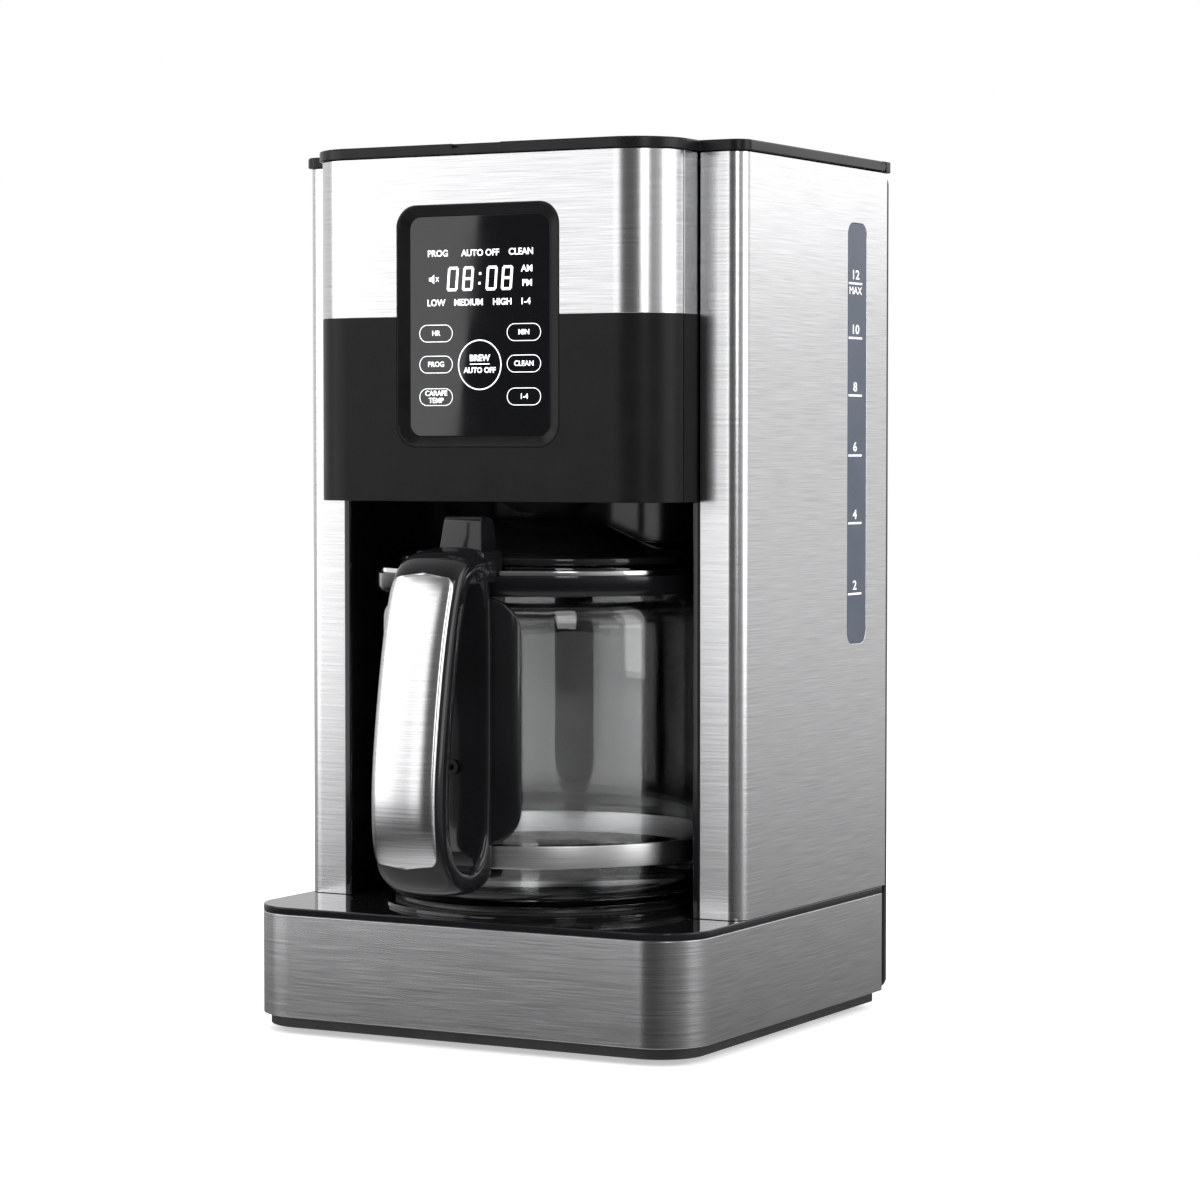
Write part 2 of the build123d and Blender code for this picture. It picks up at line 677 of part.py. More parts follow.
CAGE_TOP_Z = 238.0
BASKET_FLOOR_Z = BASKET_Z + 2.4
with BuildPart() as valve_cage:
    with BuildSketch(Plane.XY.offset(BASKET_FLOOR_Z)):
        Circle(11.5)
        Circle(9.8, mode=Mode.SUBTRACT)
    extrude(amount=CAGE_TOP_Z - BASKET_FLOOR_Z)
    with BuildSketch(Plane.XY.offset(CAGE_TOP_Z - 1.8)):
        Circle(10.5)
        Circle(3.2, mode=Mode.SUBTRACT)
    extrude(amount=1.8)
    with PolarLocations(10.5, 4):
        with Locations((0, 0, BASKET_FLOOR_Z + 5)):
            Box(6, 8, 7, mode=Mode.SUBTRACT)
valve_cage.part.label = "valve_cage"

SEAL_TOP_Z = BASKET_FLOOR_Z + 1.2
with BuildPart() as drip_valve_seal:
    with BuildSketch(Plane.XY.offset(BASKET_FLOOR_Z)):
        Circle(8.6)
        Circle(VALVE_BORE_R, mode=Mode.SUBTRACT)
    extrude(amount=1.2)
drip_valve_seal.part.label = "drip_valve_seal"

VALVE_DISC_Z = SEAL_TOP_Z + 0.05
VALVE_STEM_TOP_Z = 233.8
with BuildPart() as drip_valve:
    with BuildSketch(Plane.XZ):
        with BuildLine():
            Polyline((0, VALVE_TIP_Z), (2.4, VALVE_TIP_Z), (3.4, VALVE_TIP_Z + 1.0), (3.4, VALVE_DISC_Z),
                     (8.0, VALVE_DISC_Z), (8.0, VALVE_DISC_Z + 1.6), (2.4, VALVE_DISC_Z + 1.6),
                     (2.4, VALVE_STEM_TOP_Z), (0, VALVE_STEM_TOP_Z), close=True)
        make_face()
    revolve(axis=Axis.Z)
drip_valve.part.label = "drip_valve"

SPRING_LOW_Z = VALVE_DISC_Z + 2.2
SPRING_TOP_Z = CAGE_TOP_Z - 2.4
SPRING_WIRE_R = 0.45
with BuildPart() as drip_valve_spring:
    with BuildLine() as coil:
        Helix(pitch=2.2, height=SPRING_TOP_Z - SPRING_LOW_Z, radius=5.2, center=(0, 0, SPRING_LOW_Z))
    with BuildSketch(Plane(coil.line @ 0, z_dir=coil.line % 0)):
        Circle(SPRING_WIRE_R)
    sweep()
drip_valve_spring.part.label = "drip_valve_spring"

FILTER_LOW_Z = 241.0
FILTER_T = 0.9
with BuildPart() as mesh_filter:
    with BuildSketch(Plane.XZ.offset(-BASKET_Y)):
        with BuildLine():
            Polyline((0, FILTER_LOW_Z), (33, FILTER_LOW_Z), (45.2, BASKET_TOP_Z), (49, BASKET_TOP_Z),
                     (49, BASKET_TOP_Z + FILTER_T), (45.2 - FILTER_T, BASKET_TOP_Z + FILTER_T),
                     (33 - FILTER_T, FILTER_LOW_Z + FILTER_T), (0, FILTER_LOW_Z + FILTER_T), close=True)
        make_face()
    revolve(axis=Axis((0, BASKET_Y, 0), (0, 0, 1)))
mesh_filter.part.label = "mesh_filter"

# ---------------------------------------------------------------- top lid

NOTCH_W = 22.0
with BuildPart() as top_lid:
    with BuildSketch(Plane.XY.offset(LID_Z)):
        add(head_plan(-LID_OVERHANG, 40))
        add(body_plan(BODY_W + 2 * LID_OVERHANG, TOWER_FRONT_Y - LID_OVERHANG, HINGE_Y, TOWER_CORNER_R, 0))
    extrude(amount=LID_TOP_Z - LID_Z)
    fillet(top_lid.edges().group_by(Axis.Z)[-1].sort_by(Axis.Y)[:-1], 0.8)
    with BuildSketch(Plane.YZ.offset(-BODY_W / 2 - LID_OVERHANG)):
        with Locations((HINGE_Y, HINGE_Z)):
            Circle(HINGE_R)
    extrude(amount=BODY_W + 2 * LID_OVERHANG)
    with Locations((-LUG_X, HINGE_Y, HINGE_Z), (LUG_X, HINGE_Y, HINGE_Z)):
        Box(LUG_W + 0.8, 5.6, 6, mode=Mode.SUBTRACT)
    with BuildSketch(Plane.YZ.offset(-LUG_X - 14)):
        with Locations((HINGE_Y, HINGE_Z)):
            Circle(PIN_R + PIN_CLEAR)
    extrude(amount=2 * LUG_X + 28, mode=Mode.SUBTRACT)
    with Locations((0, HEAD_FRONT_Y - LID_OVERHANG, LID_TOP_Z)):
        Box(NOTCH_W, 5, 3.6, mode=Mode.SUBTRACT)
top_lid.part.label = "top_lid"

with BuildPart() as hinge_rail:
    with BuildSketch(Plane.XY.offset(SHELL_TOP_Z)):
        with Locations((0, (RAIL_Y + BACK_Y) / 2)):
            Rectangle(BODY_W + 2 * LID_OVERHANG, BACK_Y - RAIL_Y)
    extrude(amount=LID_TOP_Z - SHELL_TOP_Z)
    fillet(hinge_rail.edges().filter_by(Axis.Z).group_by(Axis.Y)[-1], 3)
    for side in (-1, 1):
        with BuildSketch(Plane.YZ.offset(side * LUG_X - LUG_W / 2)):
            with Locations((HINGE_Y, HINGE_Z)):
                Circle(HINGE_R)
            with Locations(((HINGE_Y + RAIL_Y) / 2, HINGE_Z)):
                Rectangle(RAIL_Y - HINGE_Y, 2 * HINGE_R)
        extrude(amount=LUG_W)
    with BuildSketch(Plane.YZ.offset(-LUG_X - 14)):
        with Locations((HINGE_Y, HINGE_Z)):
            Circle(PIN_R + PIN_CLEAR)
    extrude(amount=2 * LUG_X + 28, mode=Mode.SUBTRACT)
hinge_rail.part.label = "hinge_rail"

with BuildPart() as lid_hinge_pin:
    with BuildSketch(Plane.YZ.offset(-LUG_X - 12)):
        with Locations((HINGE_Y, HINGE_Z)):
            Circle(PIN_R)
    extrude(amount=2 * LUG_X + 24)
lid_hinge_pin.part.label = "lid_hinge_pin"

LINER_Z = 350.4
with BuildPart() as lid_liner:
    with BuildSketch(Plane.XY.offset(LINER_Z)):
        add(body_plan(150, -50, 60, 16, 8))
        with Locations((0, 85)):
            RectangleRounded(170, 30, 6)
    extrude(amount=LID_Z - LINER_Z)
lid_liner.part.label = "lid_liner"

SHOWER_R = 30.0
SHOWER_Z = 345.2
with BuildPart() as shower_head:
    with BuildSketch(Plane.XY.offset(SHOWER_Z)):
        with Locations((0, BASKET_Y)):
            Circle(SHOWER_R)
    extrude(amount=LINER_Z - SHOWER_Z)
    with BuildSketch(Plane.XY.offset(SHOWER_Z + 1.2)):
        with Locations((0, BASKET_Y)):
            Circle(SHOWER_R - 2)
    extrude(amount=LINER_Z - SHOWER_Z - 2.4, mode=Mode.SUBTRACT)
    for ring_r, hole_count in ((8, 6), (16, 10), (24, 14)):
        with BuildSketch(Plane.XY.offset(SHOWER_Z)):
            with Locations((0, BASKET_Y)):
                with PolarLocations(ring_r, hole_count):
                    Circle(1.3)
        extrude(amount=1.3, mode=Mode.SUBTRACT)
shower_head.part.label = "shower_head"

# ---------------------------------------------------------------- carafe

with BuildPart() as carafe_glass:
    with BuildSketch(Plane.XZ) as glass_profile:
        with BuildLine():
            Polyline((0, CARAFE_Z), (CARAFE_R, CARAFE_Z), (CARAFE_R, SHOULDER_Z), (NECK_R, SHOULDER_Z + 4),
                     (NECK_R, NECK_TOP_Z), (NECK_R - GLASS_T, NECK_TOP_Z),
                     (NECK_R - GLASS_T, SHOULDER_Z + 2.4), (CARAFE_R - GLASS_T, SHOULDER_Z - 1.5),
                     (CARAFE_R - GLASS_T, CARAFE_Z + GLASS_T), (0, CARAFE_Z + GLASS_T), close=True)
        make_face()
        rounded = glass_profile.vertices()
        fillet(rounded.filter_by(lambda v: v.X == CARAFE_R and v.Y < 60), 10)
        rounded = glass_profile.vertices()
        fillet(rounded.filter_by(lambda v: abs(v.X - CARAFE_R + GLASS_T) < 0.1 and v.Y < 60), 8)
        rounded = glass_profile.vertices()
        fillet(rounded.filter_by(lambda v: abs(v.X - CARAFE_R) < 0.1 and v.Y > 170), 3)
    revolve(axis=Axis.Z)
carafe_glass.part.label = "carafe_glass"


def ring(inner_r, outer_r, low_z, top_z):
    """Plain round ring about the carafe axis."""
    with BuildPart() as hoop:
        with BuildSketch(Plane.XY.offset(low_z)):
            Circle(outer_r)
            Circle(inner_r, mode=Mode.SUBTRACT)
        extrude(amount=top_z - low_z)
    return hoop


BAND_LOW_Z = 72.0
BAND_HIGH_Z = 81.0
carafe_band = ring(CARAFE_R, CARAFE_R + BAND_T, BAND_LOW_Z, BAND_HIGH_Z)
carafe_band.part.label = "carafe_band"

SPOUT_TIP_Y = 76.5
SPOUT_TOP_Z = 197.0
LID_CLEAR_R = 61.5
with BuildPart() as carafe_collar:
    with BuildSketch(Plane.XZ):
        with BuildLine():
            Polyline((NECK_R, COLLAR_Z), (COLLAR_R - 1.5, COLLAR_Z), (COLLAR_R, COLLAR_Z + 2.5),
                     (COLLAR_R, RING_Z), (NECK_R, RING_Z), close=True)
        make_face()
    revolve(axis=Axis.Z)
    with BuildSketch(Plane.XY.offset(COLLAR_Z + 3)):
        with BuildLine():
            Polyline((-22, 58), (-9, 73.5), (0, SPOUT_TIP_Y), (9, 73.5), (22, 58), close=True)
        make_face()
    extrude(amount=SPOUT_TOP_Z - COLLAR_Z - 3)
    with BuildSketch(Plane.XY.offset(RING_Z + 1.5)):
        with BuildLine():
            Polyline((-18, 58), (-6.5, 71.5), (0, SPOUT_TIP_Y - 3), (6.5, 71.5), (18, 58), close=True)
        make_face()
    extrude(amount=20, mode=Mode.SUBTRACT)
    with BuildSketch(Plane.XY.offset(RING_Z)):
        Circle(LID_CLEAR_R)
    extrude(amount=20, mode=Mode.SUBTRACT)
    with BuildSketch(Plane.XY.offset(COLLAR_Z - 1)):
        Circle(NECK_R)
    extrude(amount=30, mode=Mode.SUBTRACT)
carafe_collar.part.label = "carafe_collar"

carafe_trim_ring = ring(LID_CLEAR_R, COLLAR_R - 1.5, RING_Z, RING_TOP_Z)
with carafe_trim_ring:
    with Locations((0, 66, RING_Z + 1)):
        Box(48, 24, 4, mode=Mode.SUBTRACT)
    with Locations((0, -66, RING_Z + 1)):
        Box(2 * HANDLE_HALF_W + 0.4, 24, 4, mode=Mode.SUBTRACT)
carafe_trim_ring.part.label = "carafe_trim_ring"

with BuildPart() as lever_room:
    with Locations((0, -62, RING_TOP_Z + 1 + 10)):
        Box(2 * LEVER_HALF_W + 0.8, 18, 20)

with BuildPart() as handle_seat:
    with BuildSketch(Plane.XY):
        Circle(CARAFE_R + 0.1)
    extrude(amount=COLLAR_Z)
    with BuildSketch(Plane.XY.offset(BAND_LOW_Z - 0.1)):
        Circle(CARAFE_R + BAND_T)
    extrude(amount=BAND_HIGH_Z - BAND_LOW_Z + 0.2)
    with BuildSketch(Plane.XY.offset(COLLAR_Z)):
        Circle(COLLAR_R)
    extrude(amount=RING_Z - COLLAR_Z)
    with BuildSketch(Plane.XY.offset(RING_Z)):
        Circle(LID_CLEAR_R)
    extrude(amount=30)

PLATE_INLAY = 1.2
INLAY_Z = (74.0, 186.0)
with BuildPart() as inlay:
    with BuildSketch(Plane.YZ):
        add(handle_outline(0))
    extrude(amount=HANDLE_HALF_W - 1.4, both=True)
    with BuildSketch(Plane.YZ):
        add(handle_outline(PLATE_INLAY))
    extrude(amount=HANDLE_HALF_W, both=True, mode=Mode.SUBTRACT)
    with BuildSketch(Plane.XY.offset(INLAY_Z[0])):
        with Locations((0, -106)):
            Rectangle(2 * HANDLE_HALF_W, 36)
    extrude(amount=INLAY_Z[1] - INLAY_Z[0], mode=Mode.INTERSECT)

PAD_T = 3.4
PAD_HALF_W = 25.0
with BuildPart() as handle_body:
    with BuildSketch(Plane.YZ):
        add(handle_outline(0))
        with BuildLine():
            Spline((-80, 187), (-87, 182), (-93.5, 160), (-99, 130), (-101.6, 102), (-99.5, 82), (-90, 72.8),
                   (-79, 75.5), (-74.5, 90), (-73.6, 130), (-73.6, 165), (-75, 183), periodic=True)
        make_face(mode=Mode.SUBTRACT)
    extrude(amount=HANDLE_HALF_W, both=True)
    fillet(handle_body.edges().filter_by(GeomType.BSPLINE).filter_by(lambda edge: edge.center().Y > -100), 3)
    with BuildSketch(Plane.XY.offset(BAND_HIGH_Z + 0.1)):
        Circle(CARAFE_R + PAD_T)
        with Locations((0, -CARAFE_R)):
            Rectangle(2 * PAD_HALF_W, 40, mode=Mode.INTERSECT)
    extrude(amount=COLLAR_Z - BAND_HIGH_Z - 0.2)
    add(handle_seat.part, mode=Mode.SUBTRACT)
    add(lever_room.part, mode=Mode.SUBTRACT)
    add(inlay.part, mode=Mode.SUBTRACT)
    with BuildSketch(Plane.YZ.offset(-HANDLE_HALF_W - 1)):
        with Locations((LID_PIN_Y, LID_PIN_Z)):
            Circle(1.2)
    extrude(amount=2 * HANDLE_HALF_W + 2, mode=Mode.SUBTRACT)
handle_body.part.label = "handle_body"

with BuildPart() as handle_plate:
    add(inlay.part)
handle_plate.part.label = "handle_plate"

with BuildPart() as carafe_lid:
    with BuildSketch(Plane.XZ):
        with BuildLine():
            Polyline((5, 206.5), (22, 206.5), (44, 195.8), (56, 193.8), (60, 193.2), (60, NECK_TOP_Z + 0.4),
                     (57, NECK_TOP_Z + 0.4), (57, 186.8), (55, 186.8), (55, 191.4), (43.5, 193.4),
                     (21.5, 204.1), (5, 204.1), close=True)
        make_face()
    revolve(axis=Axis.Z)
carafe_lid.part.label = "carafe_lid"

LEVER_TOP_Z = 210.2
LEVER_TOP_HALF_W = 8.2
with BuildPart() as lid_lever:
    with BuildSketch(Plane.YZ):
        with BuildLine():
            Polyline((-69.5, 190.8), (-57, 190.8), (-57, LEVER_TOP_Z - 2.2), (-59, LEVER_TOP_Z - 0.8),
                     (-67.4, LEVER_TOP_Z), (-69.5, 196), close=True)
        make_face()
    extrude(amount=LEVER_HALF_W, both=True)
    with BuildSketch(Plane.XZ.offset(50)):
        with BuildLine():
            Polyline((-LEVER_HALF_W, 190), (LEVER_HALF_W, 190), (LEVER_HALF_W, 196),
                     (LEVER_TOP_HALF_W, LEVER_TOP_Z + 1), (-LEVER_TOP_HALF_W, LEVER_TOP_Z + 1),
                     (-LEVER_HALF_W, 196), close=True)
        make_face()
    extrude(amount=30, mode=Mode.INTERSECT)
    fillet(lid_lever.edges().filter_by(Axis.X).group_by(Axis.Z)[-1], 1.5)
    with BuildSketch(Plane.XY.offset(180)):
        Circle(60)
    extrude(amount=14.2, mode=Mode.SUBTRACT)
    with BuildSketch(Plane.YZ.offset(-LEVER_HALF_W - 1)):
        with Locations((LID_PIN_Y, LID_PIN_Z)):
            Circle(1.25)
    extrude(amount=2 * LEVER_HALF_W + 2, mode=Mode.SUBTRACT)
lid_lever.part.label = "lid_lever"

with BuildPart() as lid_pin:
    with BuildSketch(Plane.YZ.offset(-HANDLE_HALF_W + 0.5)):
        with Locations((LID_PIN_Y, LID_PIN_Z)):
            Circle(1.2)
    extrude(amount=2 * HANDLE_HALF_W - 1)
lid_pin.part.label = "lid_pin"

with BuildPart() as handle_screw:
    with BuildSketch(Plane.XZ.offset(74.4)):
        with Locations((0, 112)):
            Circle(2.8)
            RegularPolygon(1.2, 6, mode=Mode.SUBTRACT)
    extrude(amount=1.4)
handle_screw.part.label = "handle_screw"

# ---------------------------------------------------------------- export

PIECES = [
    base_bottom, rubber_feet, case_screws, base_band, base_top, hot_plate, hot_plate_seal, boiler,
    heater_element, heater_clamp, thermostat, tank_hose, boiler_hose, riser, check_valve, check_ball,
    riser_seal, tower_shell_left, tower_shell_right, side_frames, gauge_window,
    niche_liner, niche_trim, water_tank, tank_screen, back_cover, cord_gland,
    head_front_steel, head_front_black, head_strips_upper, head_strips_lower, head_frame, head_floor,
    top_deck, panel_bezel, panel_glass, display_module, control_board, power_board, basket, valve_cage,
    drip_valve_seal, drip_valve, drip_valve_spring, mesh_filter, top_lid, hinge_rail, lid_hinge_pin,
    lid_liner, shower_head, carafe_glass, carafe_band, carafe_collar, carafe_trim_ring, handle_body,
    handle_plate, carafe_lid, lid_lever, lid_pin, handle_screw,
]

os.makedirs("parts", exist_ok=True)
for piece in PIECES:
    export_step(piece.part, f"parts/{piece.part.label}.step")
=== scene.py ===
import json
import math

import bmesh
import bpy
from mathutils import Matrix, Vector

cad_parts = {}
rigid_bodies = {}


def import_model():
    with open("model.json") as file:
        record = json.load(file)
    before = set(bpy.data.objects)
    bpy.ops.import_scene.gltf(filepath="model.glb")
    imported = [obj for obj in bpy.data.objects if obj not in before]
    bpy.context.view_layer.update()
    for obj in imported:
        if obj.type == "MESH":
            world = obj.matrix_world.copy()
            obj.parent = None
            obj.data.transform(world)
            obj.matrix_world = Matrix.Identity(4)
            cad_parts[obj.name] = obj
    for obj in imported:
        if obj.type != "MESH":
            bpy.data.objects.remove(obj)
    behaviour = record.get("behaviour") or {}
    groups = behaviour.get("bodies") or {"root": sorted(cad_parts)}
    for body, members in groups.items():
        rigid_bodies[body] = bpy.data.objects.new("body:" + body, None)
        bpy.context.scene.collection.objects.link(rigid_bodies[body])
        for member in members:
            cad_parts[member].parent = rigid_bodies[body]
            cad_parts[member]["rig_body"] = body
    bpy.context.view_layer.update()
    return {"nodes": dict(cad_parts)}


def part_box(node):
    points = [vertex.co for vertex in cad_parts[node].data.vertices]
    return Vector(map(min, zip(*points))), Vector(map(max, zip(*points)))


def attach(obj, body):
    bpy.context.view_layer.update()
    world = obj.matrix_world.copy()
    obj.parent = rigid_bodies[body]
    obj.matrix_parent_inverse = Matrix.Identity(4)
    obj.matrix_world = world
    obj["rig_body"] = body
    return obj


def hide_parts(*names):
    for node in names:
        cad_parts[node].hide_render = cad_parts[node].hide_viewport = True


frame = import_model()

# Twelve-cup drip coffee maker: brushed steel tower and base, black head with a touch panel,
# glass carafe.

scene = bpy.context.scene

# ---- Camera ----
# A long lens stands low in front of the right corner, level with the middle of the machine.
camera = bpy.data.objects.new("camera", bpy.data.cameras.new("camera"))
camera.data.lens = 108.67
camera.location = (0.7279, -1.2873, 0.2367)
camera.rotation_euler = (math.pi / 2 - 0.042, 0, 0.5)
scene.collection.objects.link(camera)
scene.camera = camera

# ---- Base tray and feet ----
# The tray is one black moulding with a fine spark texture. It carries the steel band and
# stands on four rubber feet pushed into its underside.
MM = 0.001


def box_mm(node):
    """The low and the high corner of a CAD node's box, in millimetres."""
    return [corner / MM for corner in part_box(node)]


def shader_of(material):
    """The shader that holds a finish's constants."""
    return material.node_tree.nodes["Principled BSDF"]


def mapped(tree, from_low, from_high, to_low, to_high):
    """A node that maps one range of numbers on to another."""
    span = tree.nodes.new("ShaderNodeMapRange")
    limits = (from_low, from_high, to_low, to_high)
    for name, value in zip(("From Min", "From Max", "To Min", "To Max"), limits):
        span.inputs[name].default_value = value
    return span


def principled(name, colour, roughness, metallic=0.0):
    """A new material with its shader's constants set, and its node tree to add detail to."""
    material = bpy.data.materials.new(name)
    material.use_nodes = True
    shader = shader_of(material)
    shader.inputs["Base Color"].default_value = (*colour, 1)
    shader.inputs["Roughness"].default_value = roughness
    shader.inputs["Metallic"].default_value = metallic
    return material


def noise_on(material, size, detail=4.0, stretch=(1, 1, 1)):
    """Noise in object coordinates, its grain about size metres across, longer where stretch is larger."""
    tree = material.node_tree
    place = tree.nodes.new("ShaderNodeTexCoord")
    mapping = tree.nodes.new("ShaderNodeMapping")
    mapping.inputs["Scale"].default_value = [1 / (size * along) for along in stretch]
    noise = tree.nodes.new("ShaderNodeTexNoise")
    noise.inputs["Scale"].default_value = 1.0
    noise.inputs["Detail"].default_value = detail
    tree.links.new(place.outputs["Object"], mapping.inputs["Vector"])
    tree.links.new(mapping.outputs["Vector"], noise.inputs["Vector"])
    return noise


def vary(material, noise, socket, low, high, spread=(0.3, 0.7)):
    """Drives one number of the shader from a noise, between two values."""
    tree = material.node_tree
    span = mapped(tree, *spread, low, high)
    tree.links.new(noise.outputs["Fac"], span.inputs["Value"])
    tree.links.new(span.outputs["Result"], shader_of(material).inputs[socket])


def tint(material, noise, dark, light, spread=(0.3, 0.7)):
    """Drives the base colour from a noise, between two colours."""
    tree = material.node_tree
    ramp = tree.nodes.new("ShaderNodeValToRGB")
    for stop, place, colour in zip(ramp.color_ramp.elements, spread, (dark, light)):
        stop.position = place
        stop.color = (*colour, 1)
    tree.links.new(noise.outputs["Fac"], ramp.inputs["Fac"])
    tree.links.new(ramp.outputs["Color"], shader_of(material).inputs["Base Color"])


def relief(material, noise, depth, strength=1.0):
    """Raises the surface a little by a noise."""
    tree = material.node_tree
    bump = tree.nodes.new("ShaderNodeBump")
    bump.inputs["Distance"].default_value = depth
    bump.inputs["Strength"].default_value = strength
    tree.links.new(noise.outputs["Fac"], bump.inputs["Height"])
    tree.links.new(bump.outputs["Normal"], shader_of(material).inputs["Normal"])


def moulded(name, dark, light, roughness, grain, depth):
    """Moulded plastic or rubber: a slight mottle, an uneven sheen and a fine texture."""
    material = principled(name, light, roughness)
    mottle = noise_on(material, 14 * MM)
    tint(material, mottle, dark, light)
    vary(material, mottle, "Roughness", roughness * 0.88, roughness * 1.12)
    relief(material, noise_on(material, grain, 2.0), depth)
    return material


def finished(bm, name, sharp=math.radians(35)):
    """Turns a bmesh into a smooth-shaded piece whose hard edges stay crisp."""
    mesh = bpy.data.meshes.new(name)
    bm.to_mesh(mesh)
    bm.free()
    for face in mesh.polygons:
        face.use_smooth = True
    mesh.set_sharp_from_angle(angle=sharp)
    piece = bpy.data.objects.new(name, mesh)
    scene.collection.objects.link(piece)
    return piece


def fit(piece, body, material, slot, *nodes):
    """Gives a piece its finish, fixes it to its body and hides the CAD nodes it stands for."""
    piece.data.materials.clear()
    piece.data.materials.append(material)
    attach(piece, body)
    if nodes:
        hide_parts(*nodes)
    return piece


def dress(material, *nodes):
    """Gives CAD nodes their finish."""
    for node in nodes:
        for place in frame["nodes"][node].material_slots:
            place.material = material


HARD_EDGE = math.radians(32)
WELD = 0.002 * MM


def soften(bm, edges, width, segments, clamp=True):
    """Rounds edges over by a radius in metres."""
    bmesh.ops.bevel(bm, geom=edges, offset=width, offset_type="OFFSET", segments=segments, profile=0.5,
                    affect="EDGES", clamp_overlap=clamp, material=-1)


def eased(node, width, material, slot, segments=2):
    """A copy of a CAD piece with its sharp edges rounded over by a small radius."""
    source = frame["nodes"][node]
    bm = bmesh.new()
    bm.from_mesh(source.data)
    bmesh.ops.remove_doubles(bm, verts=bm.verts, dist=WELD)
    bmesh.ops.dissolve_limit(bm, angle_limit=math.radians(0.3), verts=bm.verts, edges=bm.edges)
    corners = [edge for edge in bm.edges
               if len(edge.link_faces) == 2 and edge.calc_face_angle() > HARD_EDGE]
    soften(bm, corners, width, segments, clamp=False)
    low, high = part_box(node)
    for vert in bm.verts:
        vert.co = [min(max(place, least), most) for place, least, most in zip(vert.co, low, high)]
    piece = finished(bm, node + "_eased")
    weighted = piece.modifiers.new("flat_faces", "WEIGHTED_NORMAL")
    weighted.keep_sharp = True
    return fit(piece, source["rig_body"], material, slot, node)


spark_black = moulded("spark_black", (0.011, 0.011, 0.011), (0.017, 0.017, 0.018), 0.42, 0.35 * MM, 0.02 * MM)
rubber_black = moulded("rubber_black", (0.012, 0.012, 0.012), (0.02, 0.02, 0.02), 0.75, 0.5 * MM, 0.03 * MM)
eased("base_bottom", 0.5 * MM, spark_black, "black_moulding")
dress(rubber_black, "rubber_feet", "hot_plate_seal", "riser_seal", "drip_valve_seal")

# ---- Base band ----
# A single strip of stainless steel, brushed along its length, bent round the base and held
# between the tray and the top plate.


def brushed(name, dark, light, roughness, length=26 * MM, width=0.24 * MM):
    """Steel brushed along the horizontal: long fine scratches in colour, sheen and relief."""
    material = principled(name, light, roughness, 1.0)
    scratches = noise_on(material, width, 5.0, (length / width, length / width, 1))
    tint(material, scratches, dark, light, (0.32, 0.66))
    vary(material, scratches, "Roughness", roughness * 0.93, roughness * 1.08)
    relief(material, scratches, 0.01 * MM, 0.09)
    return material


steel = brushed("brushed_steel", (0.53, 0.53, 0.54), (0.71, 0.71, 0.72), 0.24)
eased("base_band", 0.25 * MM, steel, "brushed_steel")

# ---- Base top and warming plate ----
# The top plate is moulded in high-gloss black with a raised ring round the well. The warming
# plate is pressed steel with a dark non-stick coat, and turned grooves that hold a little water.


def glossy(name, colour, roughness):
    """High-gloss moulding: nearly flat colour under a faint ripple from the mould."""
    material = principled(name, colour, roughness)
    shader_of(material).inputs["Specular IOR Level"].default_value = 0.35
    cloud = noise_on(material, 30 * MM, 2.0)
    tint(material, cloud, [part * 0.75 for part in colour], colour)
    vary(material, cloud, "Roughness", roughness * 0.8, roughness * 1.3)
    relief(material, noise_on(material, 9 * MM, 1.0), 0.012 * MM)
    return material


gloss_black = glossy("gloss_black", (0.008, 0.008, 0.009), 0.07)
eased("base_top", 0.45 * MM, gloss_black, "gloss_black", 3)


def rounded(corners, radius, closed=True, steps=5):
    """An outline with its corners rounded; a corner may carry its own radius as a third value."""
    points = []
    for here, corner in enumerate(corners):
        spot = Vector(corner[:2])
        if not closed and here in (0, len(corners) - 1):
            points.append(spot)
            continue
        before = Vector(corners[here - 1][:2]) - spot
        after = Vector(corners[(here + 1) % len(corners)][:2]) - spot
        own = corner[2] if len(corner) > 2 else radius
        start = spot + before.normalized() * min(own, before.length * 0.48)
        end = spot + after.normalized() * min(own, after.length * 0.48)
        for step in range(steps + 1):
            part = step / steps
            points.append((1 - part) ** 2 * start + 2 * part * (1 - part) * spot + part ** 2 * end)
    return points


def turned(name, outline, closed=True, steps=144, centre=(0, 0)):
    """A piece turned about an upright axis from an outline of (radius, height) in millimetres."""
    bm = bmesh.new()
    ring = [bm.verts.new((centre[0] + spot[0] * MM, centre[1], spot[1] * MM)) for spot in outline]
    edges = [bm.edges.new(pair) for pair in zip(ring, ring[1:])]
    if closed:
        edges.append(bm.edges.new((ring[-1], ring[0])))
    bmesh.ops.spin(bm, geom=ring + edges, cent=(*centre, 0), axis=(0, 0, 1), angle=math.tau, steps=steps,
                   use_merge=True, use_duplicate=False)
    bmesh.ops.remove_doubles(bm, verts=bm.verts, dist=0.003 * MM)
    bmesh.ops.recalc_face_normals(bm, faces=bm.faces)
    return finished(bm, name)


